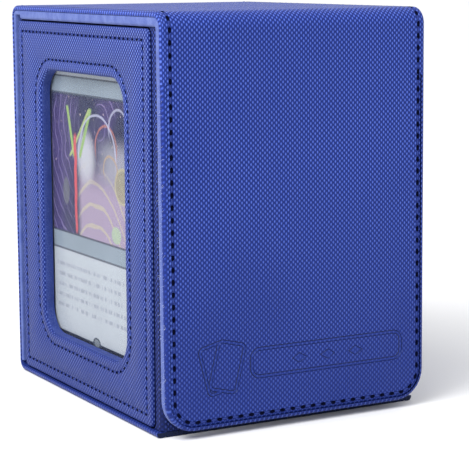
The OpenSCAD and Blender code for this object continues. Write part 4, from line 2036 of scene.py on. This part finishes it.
@dataclass
class Body:
    """The wrapped walls, their rim, the lining and the boards inside."""

    rim_width: float = 2.8 * MM
    corner: float = 1.5 * MM

    DRESSED = {
        # The walls take the darker woven copy, painted shade
        WALL: ("body_wrap",),
        SUEDE: ("inner_lining",),
        BOARD: ("pocket_wall", "pocket_spacer", "floor_board", "front_board", "back_board",
                "window_side_board", "plain_side_board", "lid_core", "flap_core"),
        NICKEL: ("front_magnets", "flap_magnets"),
        PANE: ("window_pane",),
        FILM: ("card_sleeve",),
        FROSTED: ("front_divider", "back_divider"),
    }

    def build(self) -> None:
        """Dresses the carried-over nodes and binds the rim."""
        for finish, nodes in self.DRESSED.items():
            for node in nodes:
                finish.dress(frame["nodes"][node])
        at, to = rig.box("body_wrap")
        middle, size = (at + to) / 2, to - at
        outline = Outline(middle.x, middle.y, size.x, size.y, self.corner)
        w = self.rim_width
        rings = nest(outline, [
            (0.0, -0.4 * MM), (-0.04 * MM, -0.1 * MM), (0.2 * MM, 0.06 * MM),
            (0.8 * MM, 0.14 * MM), (w / 2, 0.16 * MM), (w - 0.6 * MM, 0.13 * MM),
            (w - 0.1 * MM, 0.04 * MM), (w, -0.2 * MM),
        ])
        rim = Bench.plate("rim_binding", rings, Side.TOP.at(to.z), closed=True)
        Bench.unroll(rim, lambda place, normal: (place.x, place.y))
        settle(rim, COVER, "root")


@dataclass
class Display:
    """The card in the window."""

    corner: float = 3.0 * MM
    edge: float = 0.04 * MM
    rim: float = 0.6 * MM

    def build(self) -> None:
        """Makes the card."""
        at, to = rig.box("display_card")
        middle, t = (at.y + to.y) / 2, to.x - at.x
        outline = Outline(-middle, (at.z + to.z) / 2, to.y - at.y, to.z - at.z, self.corner)
        in_by = self.edge * 0.75
        rings = nest(outline, [
            (self.rim, 0.0), (in_by, 0.0), (0.0, self.edge), (0.0, t - self.edge), (in_by, t),
            (self.rim, t),
        ])
        card = Bench.plate("printed_card", rings, Side.LEFT.at(-to.x))
        Bench.reopen(card)
        Bench.choose(lambda e: len(e.link_faces) == 1)
        bpy.ops.mesh.edge_face_add()
        Bench.done(card)
        finish = Print("card_print", "card_print", middle / MM, at.z / MM)
        settle(card, finish, "display", "display_card")


@dataclass(frozen=True)
class Lamp:
    """A light that looks at the box: a square area with a size, or a sun with an angle."""

    name: str
    place: Triple
    power: float
    size: float = 0.0
    angle: float = 0.0

    def hang(self, aim: Vector) -> None:
        """Puts the light in the scene.

        Args:
            aim: What it looks at.
        """
        data = bpy.data.lights.new(self.name, "AREA" if self.size else "SUN")
        if self.size:
            data.shape, data.size = "SQUARE", self.size
        else:
            data.angle = self.angle
        data.energy = self.power
        light = bpy.data.objects.new(self.name, data)
        turn = (aim - Vector(self.place)).to_track_quat("-Z", "Y").to_matrix().to_4x4()
        light.matrix_world = Matrix.Translation(self.place) @ turn
        bpy.context.collection.objects.link(light)


@dataclass
class Studio:
    """The pale floor, the soft lights and the camera."""

    eye: Triple = (-239.45 * MM, -439.57 * MM, 123.04 * MM)
    yaw: float = 29.369
    pitch: float = 8.570
    roll: float = -0.298
    lens: float = 132.41
    sensor: float = 36.0
    floor_size: float = 44.0
    floor_drop: float = 0.05 * MM
    surroundings: Colour = (0.985, 0.99, 1.0, 1)
    aim: Triple = (0, 0, 50 * MM)
    lamps: tuple[Lamp, ...] = (
        Lamp("key", (-0.34, -0.12, 0.42), 2.0, size=0.3),
        Lamp("sky", (-0.70, -0.30, 0.95), 1.15, angle=math.radians(38)),
    )

    def build(self) -> None:
        """Makes the stage."""
        self.camera()
        self.floor()
        for lamp in self.lamps:
            lamp.hang(Vector(self.aim))
        self.sky()

    def camera(self) -> None:
        """Places the camera."""
        yaw, pitch, roll = (math.radians(a) for a in (self.yaw, self.pitch, self.roll))
        flat = math.cos(pitch)
        ahead = Vector((math.sin(yaw) * flat, math.cos(yaw) * flat, -math.sin(pitch)))
        right = Vector((math.cos(yaw), -math.sin(yaw), 0))
        up = right.cross(ahead)
        turned_right = right * math.cos(roll) + up * math.sin(roll)
        turned_up = up * math.cos(roll) - right * math.sin(roll)
        data = bpy.data.cameras.new("camera")
        data.lens, data.sensor_width, data.sensor_fit = self.lens, self.sensor, "HORIZONTAL"
        data.clip_start, data.clip_end = 0.02, 50
        camera = bpy.data.objects.new("camera", data)
        turn = Matrix((turned_right, turned_up, -ahead)).transposed().to_4x4()
        camera.matrix_world = Matrix.Translation(self.eye) @ turn
        bpy.context.collection.objects.link(camera)
        bpy.context.scene.camera = camera

    def floor(self) -> None:
        """Lays the floor."""
        Bench.clear()
        bpy.ops.mesh.primitive_plane_add(size=self.floor_size, location=(0, 0, -self.floor_drop))
        floor = bpy.context.object
        floor.name = "floor"
        bpy.ops.object.transform_apply(location=True, rotation=True, scale=True)
        Matt("floor", "floor").dress(floor)
        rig.stage(floor)

    def sky(self) -> None:
        """Sets the pale surroundings."""
        world = bpy.data.worlds.new("surroundings")
        world.use_nodes = True
        inputs = world.node_tree.nodes["Background"].inputs
        inputs["Color"].default_value, inputs["Strength"].default_value = self.surroundings, 1.0
        bpy.context.scene.world = world
        bpy.context.scene.view_settings.view_transform = "Standard"


def write_size() -> None:
    """Writes the CAD box and the finished model's box."""
    boxes = {"cad": CAD_BOX, "visual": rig.bounds()}
    with open("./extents.json", "w") as out:
        json.dump({name: [[float(c) for c in corner] for corner in box]
                   for name, box in boxes.items()}, out)


def main() -> None:
    """Builds the box and its studio in order."""
    logging.basicConfig(level=logging.INFO, format="%(name)s %(message)s")
    Studio().build()
    Body().build()
    Display().build()
    fine = Sewing(stitch=1.7 * MM, thick=0.5 * MM, hole=0.7 * MM)
    bold = Sewing(stitch=2.1 * MM, thick=0.6 * MM, hole=1.0 * MM)
    SidePanels().build(fine)
    Strap().build(bold)
    fine.clear_away()
    bold.clear_away()
    write_size()


if __name__ == "__main__":
    main()
